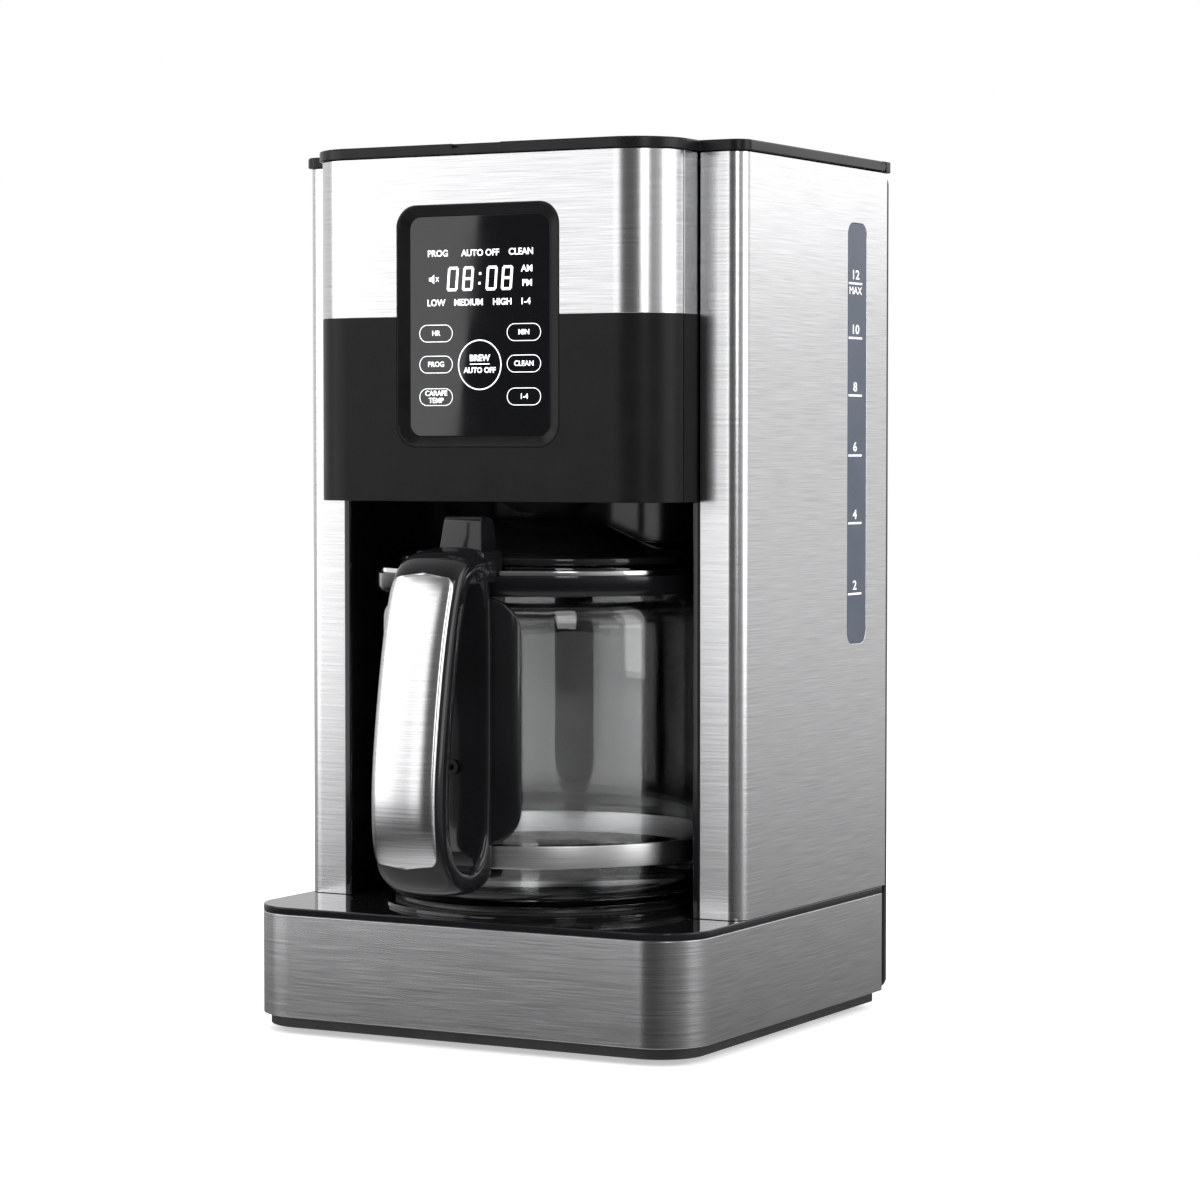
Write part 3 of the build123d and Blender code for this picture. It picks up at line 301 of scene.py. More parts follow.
plate_coat = moulded("plate_coat", (0.012, 0.012, 0.012), (0.022, 0.022, 0.022), 0.3, 0.25 * MM, 0.012 * MM)
plate_low, plate_high = box_mm("hot_plate")
plate_radius, plate_top = plate_high.x, plate_high.z
DISH, GROOVE_DEPTH = 0.5, 1.0
GROOVES, GROOVE_FROM, GROOVE_PITCH, GROOVE_HALF_W = 5, 12, 9, 1.2
plate_outline = [(0, plate_low.z), (plate_radius - 0.4, plate_low.z), (plate_radius, plate_top - 1.2, 1),
                 (plate_radius - 1.4, plate_top, 1), (plate_radius - 5.4, plate_top, 0.6),
                 (plate_radius - 6.4, plate_top - DISH, 0.6)]
for groove in range(GROOVES):
    edge = plate_radius - GROOVE_FROM - GROOVE_PITCH * groove
    plate_outline += [(edge + GROOVE_HALF_W, plate_top - DISH, 0.5), (edge, plate_top - GROOVE_DEPTH, 0.6),
                      (edge - GROOVE_HALF_W, plate_top - DISH, 0.5)]
plate_outline.append((0, plate_top - DISH))
warming_plate = turned("warming_plate", rounded(plate_outline, 0.5, closed=False), closed=False)
fit(warming_plate, "machine", plate_coat, "plate_coating", "hot_plate")

# ---- Heating circuit ----
# Under the plate a cast aluminium boiler holds the water way and the sheathed heater. Silicone
# hoses join it to the tank, through a check valve, and to the riser.
cast_metal = principled("cast_aluminium", (0.55, 0.55, 0.56), 0.5, 1.0)
casting_skin = noise_on(cast_metal, 1.6 * MM)
tint(cast_metal, casting_skin, (0.4, 0.4, 0.41), (0.62, 0.62, 0.63))
relief(cast_metal, casting_skin, 0.15 * MM)
sheath = principled("heater_sheath", (0.3, 0.29, 0.28), 0.45, 1.0)
tint(sheath, noise_on(sheath, 4 * MM), (0.2, 0.18, 0.16), (0.36, 0.35, 0.34))
plated = principled("zinc_plate", (0.56, 0.56, 0.57), 0.3, 1.0)
vary(plated, noise_on(plated, 2 * MM), "Roughness", 0.22, 0.42)
silicone = moulded("silicone", (0.52, 0.51, 0.47), (0.62, 0.61, 0.57), 0.5, 1.0 * MM, 0.01 * MM)
shader_of(silicone).inputs["Subsurface Weight"].default_value = 0.3
dress(cast_metal, "boiler")
dress(sheath, "heater_element", "thermostat")
dress(plated, "heater_clamp", "check_ball", "case_screws", "lid_hinge_pin", "drip_valve_spring")
blacked = principled("blacked_steel", (0.03, 0.03, 0.03), 0.4, 1.0)
vary(blacked, noise_on(blacked, 2 * MM), "Roughness", 0.34, 0.46)
dress(blacked, "lid_pin", "handle_screw")
dress(silicone, "tank_hose", "boiler_hose", "riser")
dress(spark_black, "check_valve")

# ---- Tower ----
# Two folded sheets of brushed steel clad the tower, on moulded walls. The bay between them is
# lined with a glossy U-shaped moulding, whose front edges carry a slim black trim.
eased("tower_shell_left", 0.3 * MM, steel, "brushed_steel")
eased("tower_shell_right", 0.3 * MM, steel, "brushed_steel")
dress(spark_black, "side_frames")
eased("niche_trim", 0.3 * MM, gloss_black, "black_moulding")
liner_black = glossy("liner_black", (0.006, 0.006, 0.007), 0.1)
eased("niche_liner", 0.3 * MM, liner_black, "gloss_black")
# The cover's rim laps the rear edges of the steel sheets.
back_cover = eased("back_cover", 0.4 * MM, spark_black, "black_moulding")
RIM_X, RIM_LAP = 94 * MM, 1.4 * MM
for vert in back_cover.data.vertices:
    if abs(vert.co.x) > RIM_X:
        vert.co.x += math.copysign(RIM_LAP, vert.co.x)
eased("cord_gland", 0.3 * MM, rubber_black, "rubber")

# ---- Water tank and level gauge ----
# The tank is blown in smoky clear plastic and wraps round the bay. A smoked strip in the right
# side shows its level against printed white marks, one for every two cups.
tank_plastic = moulded("tank_plastic", (0.16, 0.18, 0.2), (0.22, 0.24, 0.27), 0.25, 3 * MM, 0.02 * MM)
shader_of(tank_plastic).inputs["Transmission Weight"].default_value = 0.35
dress(tank_plastic, "water_tank")
smoked = moulded("smoked_strip", (0.05, 0.062, 0.085), (0.062, 0.075, 0.105), 0.3, 5 * MM, 0.012 * MM)
shader_of(smoked).inputs["Specular IOR Level"].default_value = 0.25
eased("gauge_window", 0.35 * MM, smoked, "gauge_plastic")
print_white = moulded("white_print", (0.80, 0.81, 0.83), (0.88, 0.89, 0.9), 0.5, 0.4 * MM, 0.002 * MM)

CAP = 0.7
INK = 0.06 * MM
FACE_RIGHT = Matrix.Rotation(math.pi / 2, 4, "Z") @ Matrix.Rotation(math.pi / 2, 4, "X")
FACE_FRONT = Matrix.Rotation(math.pi / 2, 4, "X")


def lettering(bm, words, height, centre, facing, bold, wide=1.0):
    """Adds printed characters, height millimetres tall, centred on a point, stretched sideways by wide."""
    curve = bpy.data.curves.new("words", "FONT")
    curve.body = words
    curve.size = height * MM / CAP
    curve.align_x = "CENTER"
    curve.align_y = "CENTER"
    curve.offset = bold * MM
    curve.extrude = INK / 2
    curve.resolution_u = 4
    holder = bpy.data.objects.new("words", curve)
    scene.collection.objects.link(holder)
    bpy.context.view_layer.update()
    mesh = bpy.data.meshes.new_from_object(holder.evaluated_get(bpy.context.evaluated_depsgraph_get()))
    bpy.data.objects.remove(holder)
    mesh.transform(Matrix.Translation(Vector(centre) * MM) @ facing @ Matrix.Diagonal((wide, 1, 1, 1)))
    bm.from_mesh(mesh)
    bpy.data.meshes.remove(mesh)


def bar(bm, centre, width, height, facing):
    """Adds a printed bar, width by height millimetres, centred on a point."""
    size = Matrix.Diagonal((width * MM, height * MM, INK, 1))
    shape = Matrix.Translation(Vector(centre) * MM) @ facing @ size
    bmesh.ops.create_cube(bm, size=1, matrix=shape)


gauge_low, gauge_high = box_mm("gauge_window")
MARK_HEIGHTS = {2: 176.2, 4: 205.5, 6: 233.5, 8: 258.3, 10: 282.0, 12: 304.5}
MARK_START, MARK_END, MARK_LINE = gauge_low.y + 0.6, gauge_low.y + 13.8, 0.85
LABEL_Y, LABEL_RISE, MAX_DROP = gauge_low.y + 7.2, 3.4, 3.1
mark_x = gauge_high.x + 0.02
marks = bmesh.new()
for cups, height in MARK_HEIGHTS.items():
    bar(marks, (mark_x, (MARK_START + MARK_END) / 2, height), MARK_END - MARK_START, MARK_LINE, FACE_RIGHT)
    lettering(marks, str(cups), 3.7, (mark_x, LABEL_Y, height + LABEL_RISE), FACE_RIGHT, 0.1, 1.5)
lettering(marks, "MAX", 3.0, (mark_x, LABEL_Y, MARK_HEIGHTS[12] - MAX_DROP), FACE_RIGHT, 0.08, 1.35)
fit(finished(marks, "gauge_marks"), "machine", print_white, "gauge_plastic")

# ---- Head ----
# A frame behind the front carries two skins that wrap its corners: brushed steel above and
# satin black below. Short strips close the sides up to the tower.
satin_black = moulded("satin_black", (0.005, 0.005, 0.005), (0.007, 0.007, 0.007), 0.34, 0.3 * MM, 0.006 * MM)
shader_of(satin_black).inputs["Specular IOR Level"].default_value = 0.12
eased("head_front_steel", 0.25 * MM, steel, "brushed_steel")
eased("head_strips_upper", 0.2 * MM, steel, "brushed_steel")
eased("head_front_black", 0.25 * MM, satin_black, "satin_black")
eased("head_strips_lower", 0.2 * MM, satin_black, "satin_black")
eased("head_floor", 0.3 * MM, gloss_black, "gloss_black")
dress(spark_black, "head_frame", "top_deck")

# ---- Control panel ----
# A glossy bezel slopes in to a tinted glass. Behind the glass a white display glows, and the
# touch keys are printed outlines with plain function words.
eased("panel_bezel", 0.3 * MM, satin_black, "gloss_black")
tinted = principled("tinted_glass", (0.003, 0.003, 0.004), 0.03)
vary(tinted, noise_on(tinted, 20 * MM), "Roughness", 0.02, 0.045)
eased("panel_glass", 0.2 * MM, tinted, "panel_glass")
board_green = moulded("solder_mask", (0.01, 0.05, 0.02), (0.02, 0.09, 0.04), 0.35, 1.5 * MM, 0.03 * MM)
dress(board_green, "display_module", "control_board", "power_board")

glow = principled("display_glow", (0.85, 0.88, 0.9), 0.4)
tint(glow, noise_on(glow, 3 * MM), (0.8, 0.83, 0.86), (0.9, 0.92, 0.94))
shader_of(glow).inputs["Emission Color"].default_value = (0.9, 0.95, 1, 1)
shader_of(glow).inputs["Emission Strength"].default_value = 0.85

ink_y = box_mm("panel_glass")[0].y - INK / MM / 2
# Where each segment of a figure lies, across and up, and whether it stands upright.
SEGMENT_PLACES = {"a": (0, 1, 0), "b": (0.5, 0.5, 1), "c": (0.5, -0.5, 1), "d": (0, -1, 0),
                  "e": (-0.5, -0.5, 1), "f": (-0.5, 0.5, 1), "g": (0, 0, 0)}
DIGIT_SEGMENTS = {"0": "abcdef", "8": "abcdefg"}
DIGIT_W, DIGIT_H, STROKE, SLANT = 4.9, 9.6, 1.05, 0.08


def digit(bm, figure, x, z):
    """Adds one seven-segment figure of the clock, leaning a little to the right."""
    for name in DIGIT_SEGMENTS[figure]:
        across, up, upright = SEGMENT_PLACES[name]
        length = DIGIT_H / 2 - 0.7 if upright else DIGIT_W - 1.0
        ends = bmesh.ops.create_cube(bm, size=1)["verts"]
        bmesh.ops.scale(bm, vec=(length * MM, INK, STROKE * MM), verts=ends)
        if upright:
            bmesh.ops.rotate(bm, verts=ends, cent=(0, 0, 0), matrix=Matrix.Rotation(math.pi / 2, 3, "Y"))
        rise = up * (DIGIT_H - STROKE) / 2
        bmesh.ops.translate(bm, verts=ends, vec=(across * (DIGIT_W - STROKE) * MM, 0, rise * MM))
        for vert in ends:
            vert.co.x += SLANT * vert.co.z
        bmesh.ops.translate(bm, verts=ends, vec=(x * MM, ink_y * MM, z * MM))


END_STEPS = 16


def outline_ring(bm, x, z, width, height, stroke):
    """Adds a printed outline with round ends, width by height millimetres."""
    radius = height / 2
    loops = []
    for inset in (0, stroke):
        loop = []
        for side in (1, -1):
            for step in range(END_STEPS + 1):
                turn = -math.pi / 2 + math.pi * step / END_STEPS
                reach = radius - inset
                loop.append(bm.verts.new(((x + side * ((width / 2 - radius) + reach * math.cos(turn))) * MM,
                                          ink_y * MM, (z + side * reach * math.sin(turn)) * MM)))
        loops.append([bm.edges.new((loop[i - 1], loop[i])) for i in range(len(loop))])
    faces = bmesh.ops.bridge_loops(bm, edges=loops[0] + loops[1])["faces"]
    grown = bmesh.ops.extrude_face_region(bm, geom=faces)["geom"]
    lifted = [part for part in grown if isinstance(part, bmesh.types.BMVert)]
    bmesh.ops.translate(bm, verts=lifted, vec=(0, -INK, 0))


CLOCK_Z = 303.4
signs = bmesh.new()
FIGURES_X = (-12.2, -5.2, 5.6, 12.6)
for figure, x in zip("0808", FIGURES_X):
    digit(signs, figure, x, CLOCK_Z)
for rise in (-1.9, 1.9):
    bar(signs, (0.2 + SLANT * rise, ink_y, CLOCK_Z + rise), 1.0, 1.0, FACE_FRONT)
WORD_H = 2.5
WORDS = (("PROG", -19.1, 313.5), ("AUTO OFF", 0.4, 313.4), ("CLEAN", 18.9, 313.5), ("AM", 21.6, 306.8),
         ("PM", 21.7, 301.2), ("LOW", -19.9, 294.0), ("MEDIUM", -5.0, 294.0), ("HIGH", 10.4, 294.0),
         ("1-4", 20.9, 294.0))
for words, x, z in WORDS:
    lettering(signs, words, WORD_H, (x, ink_y, z), FACE_FRONT, 0.08)
# The mute sign is a small speaker with a cross beside it.
MUTE_X = -21.0
MUTE_SHAPES = (((-2.2, 0.7), (-1.2, 0.7), (0.2, 1.9), (0.2, -1.9), (-1.2, -0.7), (-2.2, -0.7)),
               ((0.8, 0.8), (1.1, 1.0), (2.4, -0.8), (2.1, -1.0)),
               ((0.8, -0.8), (1.1, -1.0), (2.4, 0.8), (2.1, 1.0)))
for corners in MUTE_SHAPES:
    mute = [signs.verts.new(((x + MUTE_X) * MM, ink_y * MM, (z + CLOCK_Z) * MM)) for x, z in corners]
    signs.faces.new(mute)
KEY_W, KEY_H, KEY_LINE, KEY_WORD_H = 15.4, 6.9, 0.26, 2.0
KEY_ROWS = ((282.0, "HR", "MIN"), (269.7, "PROG", "CLEAN"), (256.8, "CARAFE\nTEMP", "1-4"))
for z, left_word, right_word in KEY_ROWS:
    for x, words in ((-20.0, left_word), (20.2, right_word)):
        outline_ring(signs, x, z, KEY_W, KEY_H, KEY_LINE)
        lettering(signs, words, KEY_WORD_H, (x, ink_y, z), FACE_FRONT, 0.06)
BREW_D, BREW_LINE, BREW_X, BREW_Z = 19.9, 0.45, 0.1, 269.4
outline_ring(signs, BREW_X, BREW_Z, BREW_D, BREW_D, BREW_LINE)
lettering(signs, "BREW", 2.4, (BREW_X, ink_y, BREW_Z + 2.6), FACE_FRONT, 0.1)
bar(signs, (BREW_X, ink_y, BREW_Z + 0.3), 9.0, 0.35, FACE_FRONT)
lettering(signs, "AUTO OFF", 2.1, (BREW_X, ink_y, BREW_Z - 2.2), FACE_FRONT, 0.09)
bmesh.ops.recalc_face_normals(signs, faces=signs.faces)
fit(finished(signs, "panel_signs"), "machine", glow, "panel_glass")

# ---- Top lid ----
# One glossy black lid covers head and tower, with a finger notch in front and a pin hinge in a
# fixed rail at the back. Its liner carries the shower head over the basket.
lid_black = moulded("lid_black", (0.005, 0.005, 0.005), (0.008, 0.008, 0.008), 0.3, 0.3 * MM, 0.006 * MM)
shader_of(lid_black).inputs["Specular IOR Level"].default_value = 0.2
eased("top_lid", 0.3 * MM, lid_black, "gloss_black")
eased("hinge_rail", 0.3 * MM, lid_black, "gloss_black")
white_plastic = moulded("white_plastic", (0.52, 0.52, 0.5), (0.6, 0.6, 0.58), 0.42, 0.5 * MM, 0.01 * MM)
eased("lid_liner", 0.3 * MM, spark_black, "black_moulding")
dress(white_plastic, "shower_head", "tank_screen", "valve_cage", "drip_valve")

# ---- Brew basket and filter ----
# The basket is a tapered black bucket with the drip stop in its nozzle. A gold-toned woven mesh
# filter hangs in it by its rim.
dress(spark_black, "basket")
woven = principled("woven_mesh", (0.55, 0.45, 0.22), 0.38, 1.0)
WEAVE = 0.8 * MM
weave = woven.node_tree.nodes.new("ShaderNodeTexVoronoi")
weave_place = woven.node_tree.nodes.new("ShaderNodeTexCoord")
weave.inputs["Scale"].default_value = 1 / WEAVE
weave.inputs["Randomness"].default_value = 0.0
woven.node_tree.links.new(weave_place.outputs["Object"], weave.inputs["Vector"])
weave_bump = woven.node_tree.nodes.new("ShaderNodeBump")
weave_bump.inputs["Distance"].default_value = 0.3 * MM
woven.node_tree.links.new(weave.outputs["Distance"], weave_bump.inputs["Height"])
woven.node_tree.links.new(weave_bump.outputs["Normal"], shader_of(woven).inputs["Normal"])
tint(woven, noise_on(woven, 6 * MM), (0.42, 0.33, 0.15), (0.6, 0.5, 0.26))
dress(woven, "mesh_filter")

# ---- Carafe glass ----
# Blown borosilicate glass, about 2.6 mm thick, with a rounded foot and a short shoulder that
# draws in to the neck under the collar.
glass_box = box_mm("carafe_glass")
jug_r, jug_low, jug_high = glass_box[1].x, glass_box[0].z, glass_box[1].z
WALL = 2.6
NECK_R = 60.4
SHOULDER_Z = 174.0
clear_glass = principled("clear_glass", (0.97, 0.975, 0.975), 0.0)
glass_shader = shader_of(clear_glass)
glass_shader.inputs["Transmission Weight"].default_value = 1.0
glass_shader.inputs["IOR"].default_value = 1.47
vary(clear_glass, noise_on(clear_glass, 40 * MM), "Roughness", 0.0, 0.02)
relief(clear_glass, noise_on(clear_glass, 25 * MM, 1.0), 0.05 * MM, 0.6)
jug_outline = rounded([
    (0, jug_low + 0.6), (jug_r - 20, jug_low + 0.5, 4), (jug_r - 14, jug_low, 3), (jug_r, jug_low, 12),
    (jug_r, SHOULDER_Z, 7), (NECK_R, SHOULDER_Z + 4.5, 4), (NECK_R, jug_high, 1.2),
    (NECK_R - WALL, jug_high, 1.2), (NECK_R - WALL, SHOULDER_Z + 2.6, 4),
    (jug_r - WALL, SHOULDER_Z - 1.9, 7), (jug_r - WALL, jug_low + WALL + 0.6, 10), (0, jug_low + WALL + 0.6)], 1, closed=False, steps=10)
jug = turned("carafe_jug", jug_outline, closed=False, steps=192)
fit(jug, "carafe", clear_glass, "clear_glass", "carafe_glass")

# ---- Carafe band, collar and bright ring ----
# A steel strap round the foot holds the handle's lower end. The collar is a black moulding with
# the pouring lip, and a polished ring lies on its top edge.
band_box = box_mm("carafe_band")
band_low, band_high, band_r = band_box[0].z, band_box[1].z, band_box[1].x
strap_inner = jug_r + 0.02
band_outline = rounded([(strap_inner, band_low), (band_r, band_low), (band_r, band_high),
                        (strap_inner, band_high)], 0.35)
strap_steel = brushed("strap_steel", (0.66, 0.66, 0.67), (0.8, 0.8, 0.81), 0.34)
fit(turned("carafe_strap", band_outline, steps=192), "carafe", strap_steel, "brushed_steel", "carafe_band")
eased("carafe_collar", 0.5 * MM, liner_black, "gloss_black", 3)
polished = principled("polished_steel", (0.78, 0.78, 0.79), 0.08, 1.0)
vary(polished, noise_on(polished, 5 * MM, 3.0, (8, 8, 1)), "Roughness", 0.06, 0.14)
eased("carafe_trim_ring", 0.25 * MM, polished, "polished_steel")

# ---- Carafe lid and lever ----
# A domed black lid drops into the neck and turns on a pin behind the handle. The thumb block on
# its edge lifts it.
lid_outline = rounded([
    (5, 206.5), (22, 206.5, 2.5), (44, 195.8, 6), (56, 193.9, 2), (59.8, 193.2), (59.8, 190.5),
    (57, 190.4), (57, 186.8), (55, 186.8), (55, 191.4), (43.5, 193.4, 5), (21.5, 204.1, 2), (5, 204.1)], 0.6)
lid_dome = turned("carafe_lid_dome", lid_outline, steps=160)
fit(lid_dome, "carafe_lid_group", gloss_black, "gloss_black", "carafe_lid")


def side_block(name, outline, half_width, radius):
    """A block with a side view in (y, z) millimetres, as wide as twice half_width, edges rounded."""
    bm = bmesh.new()
    loop = [bm.verts.new((-half_width * MM, y * MM, z * MM)) for y, z in outline]
    face = bm.faces.new(loop)
    grown = bmesh.ops.extrude_face_region(bm, geom=[face])["geom"]
    bmesh.ops.translate(bm, verts=[part for part in grown if isinstance(part, bmesh.types.BMVert)],
                        vec=(2 * half_width * MM, 0, 0))
    bmesh.ops.recalc_face_normals(bm, faces=bm.faces)
    rim = [edge for edge in bm.edges if abs(edge.verts[0].co.x - edge.verts[1].co.x) < half_width * MM]
    soften(bm, rim, radius * MM, 4)
    return finished(bm, name)


lever_box = box_mm("lid_lever")
lever_low, lever_top, lever_half = lever_box[0].z, lever_box[1].z, lever_box[1].x
LEVER_FRONT, LEVER_REAR = -69.4, -57.2
TAPER_FROM, TAPER = 196, 0.13
lever_outline = rounded([
    (LEVER_FRONT, lever_low + 0.2, 1), (-60.4, lever_low + 0.2, 0.5), (-60.4, 194.3, 0.6),
    (LEVER_REAR, 195.0, 1.5), (LEVER_REAR, lever_top - 2.4, 2), (-59.0, lever_top - 0.8, 2),
    (-67.2, lever_top, 2.5), (LEVER_FRONT, 196, 3)], 1, steps=4)
thumb_block = side_block("thumb_block", lever_outline, lever_half, 1.2)
for vert in thumb_block.data.vertices:
    vert.co.x *= 1 - TAPER * max(0, vert.co.z / MM - TAPER_FROM) / (lever_top - TAPER_FROM)
fit(thumb_block, "carafe_lid_group", gloss_black, "gloss_black", "lid_lever")

# ---- Carafe handle ----
# A hollow glossy moulding closes a D between the collar and the strap. A curved plate of brushed
# steel is let into its outer face and wraps a little over both edges.
HALF_W = 15.4
CROWN, SQUARENESS = 6.0, 2.6
# Stations run round the D from the collar: (outer y, outer z, inner y, inner z).
STATIONS = (
    (-71.4, 196.6, -77.5, 184.5), (-80.0, 197.2, -81.5, 187.0), (-91.0, 194.4, -86.3, 183.6),
    (-99.0, 184.5, -89.8, 174.0), (-106.2, 160.0, -94.4, 155.0), (-112.0, 126.0, -99.2, 127.0), (-114.2, 100.0, -101.6, 101.0),
    (-112.0, 79.5, -99.8, 84.0), (-104.3, 67.2, -94.6, 75.4), (-90.0, 63.0, -87.6, 72.6),
    (-76.5, 63.4, -80.6, 75.0), (-69.6, 69.0, -76.0, 83.0), (-68.4, 92.0, -74.4, 98.0),
    (-68.4, 140.0, -73.8, 140.0), (-68.6, 168.0, -74.2, 168.0), (-70.2, 181.0, -75.4, 178.5))
STEPS_BETWEEN = 6
CROWN_STEPS = 16
GLASS_GAP = 0.25


def between(table, place):
    """A smooth value from a closed table of stations, at a place counted in stations."""
    count = len(table)
    whole = math.floor(place)
    part = place - whole
    a, b, c, d = (Vector(table[(whole + shift) % count]) for shift in (-1, 0, 1, 2))
    return 0.5 * (2 * b + (c - a) * part + (2 * a - 5 * b + 4 * c - d) * part ** 2
                  + (3 * b - a - 3 * c + d) * part ** 3)


def hug(y, x):
    """Keeps a point of the inner arm just off the round glass."""
    limit = -math.sqrt((jug_r + GLASS_GAP) ** 2 - x * x)
    return min(y, limit)


def crown_fall(x, crown=CROWN):
    """How far the outer face of the handle has dropped from its middle line at a distance x across."""
    return crown * (1 - max(0.0, 1 - (abs(x) / HALF_W) ** SQUARENESS) ** (1 / SQUARENESS))


def handle_section(depth):
    """One section of the handle, (across, outward), flat inside with rounded corners and crowned outside."""
    crown = min(CROWN, depth * 0.5)
    section = rounded([(-HALF_W, depth - crown), (-HALF_W, 0), (HALF_W, 0), (HALF_W, depth - crown)], 4,
                      closed=False)
    for step in range(1, CROWN_STEPS):
        x = HALF_W * math.cos(math.pi * step / CROWN_STEPS)
        section.append((x, depth - crown_fall(x, crown)))
    return section


def ring_edges(bm, ring):
    """The edges that close a ring of vertices, made where they are missing."""
    return [bm.edges.get(pair) or bm.edges.new(pair) for pair in zip(ring, ring[1:] + ring[:1])]


def skin(bm, rings, following):
    """Joins each ring to the one that follows it."""
    for ring, after in zip(rings, following):
        bmesh.ops.bridge_loops(bm, edges=ring_edges(bm, ring) + ring_edges(bm, after))
    bmesh.ops.recalc_face_normals(bm, faces=bm.faces)


handle = bmesh.new()
loops = []
for index in range(len(STATIONS) * STEPS_BETWEEN):
    outer_y, outer_z, inner_y, inner_z = between(STATIONS, index / STEPS_BETWEEN)
    outer, inner = Vector((0, outer_y, outer_z)), Vector((0, inner_y, inner_z))
    depth = (outer - inner).length
    toward = (outer - inner).normalized()
    ring = []
    for x, rise in handle_section(depth):
        spot = inner + toward * rise + Vector((x, 0, 0))
        spot.y = hug(spot.y, x)
        ring.append(handle.verts.new(spot * MM))
    loops.append(ring)
    ring_edges(handle, ring)
skin(handle, loops, loops[1:] + loops[:1])
# A pad behind the inner arm spreads the pull of the handle over the glass.
PAD_ARC, PAD_T, PAD_ROUND, PAD_STEPS = 25.0, 3.2, 14.0, 40
PAD_LOW, PAD_HIGH = 81.3, 178.3
pad = []
for step in range(PAD_STEPS + 1):
    along = PAD_ARC * math.sin(math.pi * (step / PAD_STEPS - 0.5))
    past = max(0.0, abs(along) - PAD_ARC + PAD_ROUND) / PAD_ROUND
    fall = PAD_ROUND * (1 - math.sqrt(max(0.0, 1 - past ** 2)))
    near = jug_r + 0.15
    far = near + PAD_T * max(0.15, math.sqrt(max(0.0, 1 - (abs(along) / PAD_ARC) ** 10)))
    section = rounded([(near, PAD_LOW + fall), (far, PAD_LOW + fall), (far, PAD_HIGH - fall),
                       (near, PAD_HIGH - fall)], min(1.3, (far - near) * 0.45))
    turn = along / jug_r
    pad.append([handle.verts.new(Vector((r * math.sin(turn), -r * math.cos(turn), z)) * MM)
                for r, z in section])
    ring_edges(handle, pad[-1])
skin(handle, pad, pad[1:])
handle.faces.new(pad[0])
handle.faces.new(pad[-1])
bmesh.ops.recalc_face_normals(handle, faces=handle.faces)
# Two ears at the top of the inner arm carry the lid's pin.
EAR_IN, EAR_OUT = 10.0, 15.2
EAR_LENGTH, EAR_HEIGHT, EAR_ROUND = 16.0, 12.5, 1.3
EAR_Y, EAR_Z = -69.8, 190.3
for side in (-1, 1):
    ear = bmesh.ops.create_cube(handle, size=1)["verts"]
    bmesh.ops.scale(handle, verts=ear, vec=((EAR_OUT - EAR_IN) * MM, EAR_LENGTH * MM, EAR_HEIGHT * MM))
    ear_x = side * (EAR_IN + EAR_OUT) / 2
    bmesh.ops.translate(handle, verts=ear, vec=(ear_x * MM, EAR_Y * MM, EAR_Z * MM))
    edges = list({edge for vert in ear for edge in vert.link_edges})
    soften(handle, edges, EAR_ROUND * MM, 3)
fit(finished(handle, "handle_shell"), "carafe", gloss_black, "gloss_black", "handle_body")

# The inlay's ends are counted in stations; its corners are rounded by two powers.
PLATE_FROM, PLATE_TO = 2.75, 7.25
PLATE_HALF_W, PLATE_T = 14.1, 0.9
PLATE_PROUD = 0.6
END_POWER, CORNER_POWER = 22, 5
ALONG, ACROSS = 72, 20
plate = bmesh.new()
bmesh.ops.create_grid(plate, x_segments=ACROSS, y_segments=ALONG, size=1)
for vert in plate.verts:
    u, v = vert.co.x, vert.co.y
    place = PLATE_FROM + (PLATE_TO - PLATE_FROM) * (v + 1) / 2
    outer_y, outer_z, inner_y, inner_z = between(STATIONS, place)
    toward = Vector((0, outer_y - inner_y, outer_z - inner_z)).normalized()
    half = PLATE_HALF_W * (1 - abs(v) ** END_POWER) ** (1 / CORNER_POWER)
    x = u * half
    vert.co = (Vector((x, outer_y, outer_z)) + toward * (PLATE_PROUD - crown_fall(x))) * MM
bmesh.ops.recalc_face_normals(plate, faces=plate.faces)
handle_plate = finished(plate, "handle_inlay")
if handle_plate.data.polygons[len(handle_plate.data.polygons) // 2].normal.y > 0:
    handle_plate.data.flip_normals()
depth_of_plate = handle_plate.modifiers.new("sheet", "SOLIDIFY")
depth_of_plate.thickness = PLATE_T * MM
depth_of_plate.offset = -1
fit(handle_plate, "carafe", steel, "brushed_steel", "handle_plate")

# ---- Studio ----
# A white floor that gives no reflections, a bright sky over a dark horizon for the steel to
# reflect, and six softboxes round and over the machine. The camera sees the sky as plain white.
floor_mesh = bmesh.new()
bmesh.ops.create_grid(floor_mesh, x_segments=1, y_segments=1, size=6)
floor = finished(floor_mesh, "floor")
floor_white = principled("floor_white", (0.93, 0.93, 0.93), 0.6)
shader_of(floor_white).inputs["Emission Color"].default_value = (1, 1, 1, 1)
shader_of(floor_white).inputs["Emission Strength"].default_value = 0.45
vary(floor_white, noise_on(floor_white, 0.2), "Roughness", 0.55, 0.65)
floor.data.materials.append(floor_white)
floor.visible_glossy = False

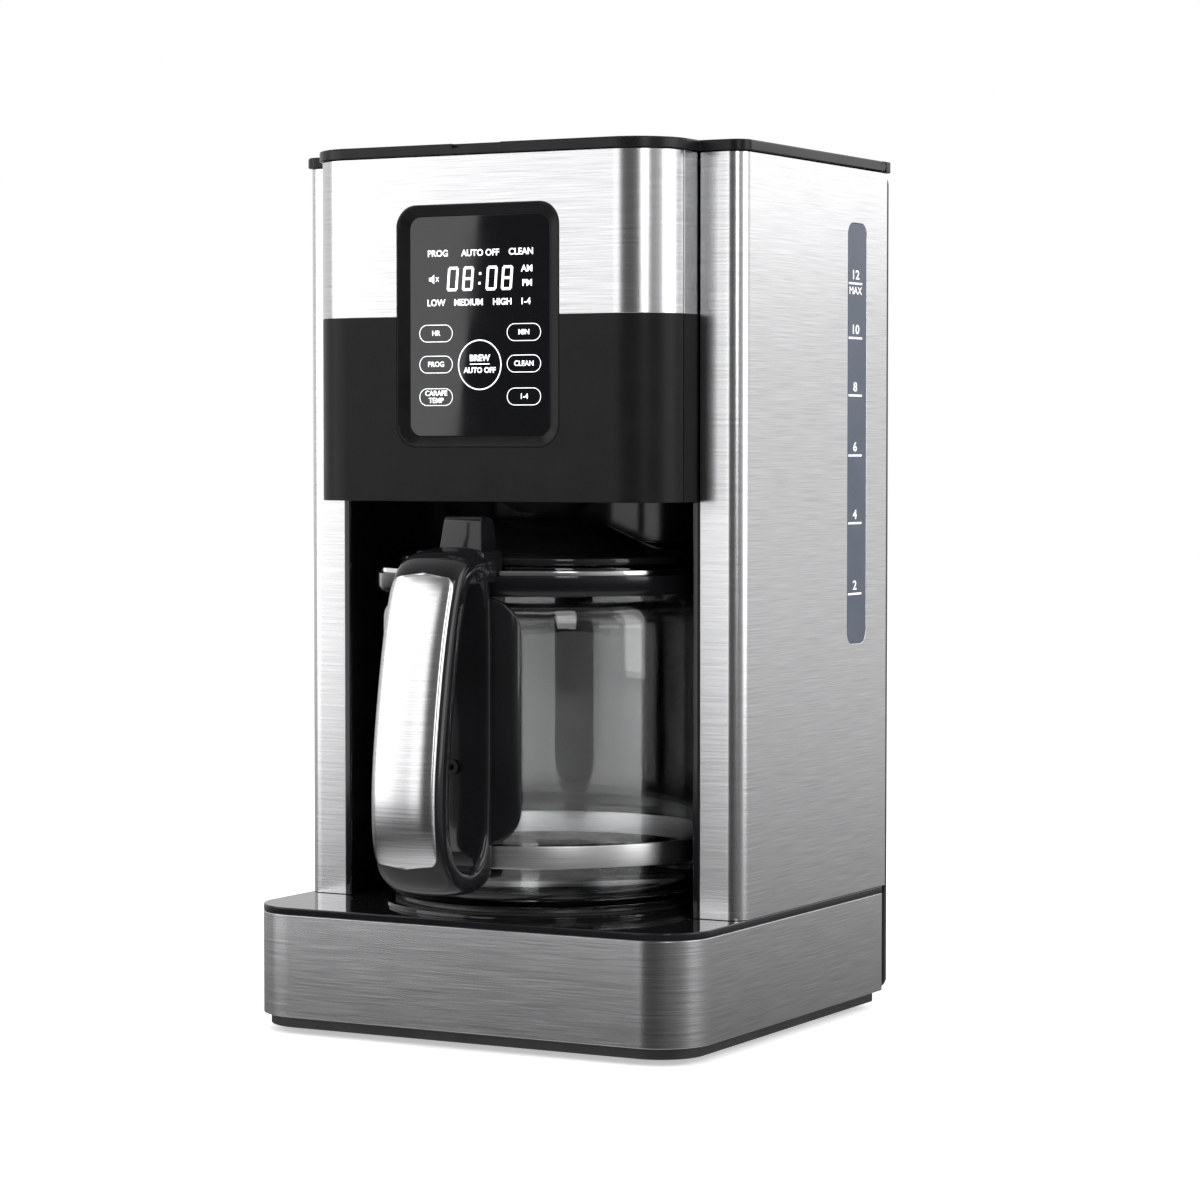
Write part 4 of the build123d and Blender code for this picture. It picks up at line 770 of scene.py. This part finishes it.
world = bpy.data.worlds.new("studio")
scene.world = world
world.use_nodes = True
sky = world.node_tree
backdrop = sky.nodes["Background"]
backdrop.inputs["Color"].default_value = (1, 1, 1, 1)
direction = sky.nodes.new("ShaderNodeTexCoord")
parts = sky.nodes.new("ShaderNodeSeparateXYZ")
rise = mapped(sky, -0.17, -0.04, 0.05, 0.88)
eye = sky.nodes.new("ShaderNodeLightPath")
behind = mapped(sky, -0.75, 0.1, 0.12, 1.0)
shade = sky.nodes.new("ShaderNodeMath")
shade.operation = "MULTIPLY"
ground = mapped(sky, -0.27, -0.6, 0.0, 0.75)
brighter = sky.nodes.new("ShaderNodeMath")
brighter.operation = "MAXIMUM"
choose = sky.nodes.new("ShaderNodeMix")
choose.inputs["B"].default_value = 1.0
sky.links.new(direction.outputs["Generated"], parts.inputs["Vector"])
sky.links.new(parts.outputs["Z"], rise.inputs["Value"])
sky.links.new(parts.outputs["Y"], behind.inputs["Value"])
sky.links.new(rise.outputs["Result"], shade.inputs[0])
sky.links.new(behind.outputs["Result"], shade.inputs[1])
sky.links.new(parts.outputs["Z"], ground.inputs["Value"])
sky.links.new(shade.outputs[0], brighter.inputs[0])
sky.links.new(ground.outputs["Result"], brighter.inputs[1])
sky.links.new(brighter.outputs[0], choose.inputs["A"])
sky.links.new(eye.outputs["Is Camera Ray"], choose.inputs["Factor"])
sky.links.new(choose.outputs["Result"], backdrop.inputs["Strength"])


LIGHT_AIM = Vector((0, 0, 0.2))


def softbox(name, azimuth, height, distance, width, tall, power):
    """An area light at an azimuth in degrees from the front, turned to the machine."""
    lamp = bpy.data.objects.new(name, bpy.data.lights.new(name, "AREA"))
    lamp.data.shape = "RECTANGLE"
    lamp.data.size = width
    lamp.data.size_y = tall
    lamp.data.energy = power
    turn = math.radians(azimuth)
    lamp.location = (distance * math.sin(turn), -distance * math.cos(turn), height)
    toward = LIGHT_AIM - lamp.location
    lamp.rotation_euler = toward.to_track_quat("-Z", "Y").to_euler()
    scene.collection.objects.link(lamp)
    return lamp


softbox("front_left", -52.4, 0.825, 2.4, 2.05, 2.05, 27)
softbox("front_centre", -18, 0.825, 2.6, 0.8, 2.05, 9.5)
softbox("front_right", 43, 1.05, 2.0, 0.5, 1.6, 12)
softbox("right", 98, 0.8, 2.0, 1.1, 1.6, 14)
softbox("rear_right", 152, 1.25, 2.6, 1.6, 1.7, 8)
softbox("overhead", 0, 2.2, 0.6, 1.6, 1.6, 24).visible_glossy = False
scene.view_settings.view_transform = "Standard"
scene.view_settings.look = "None"
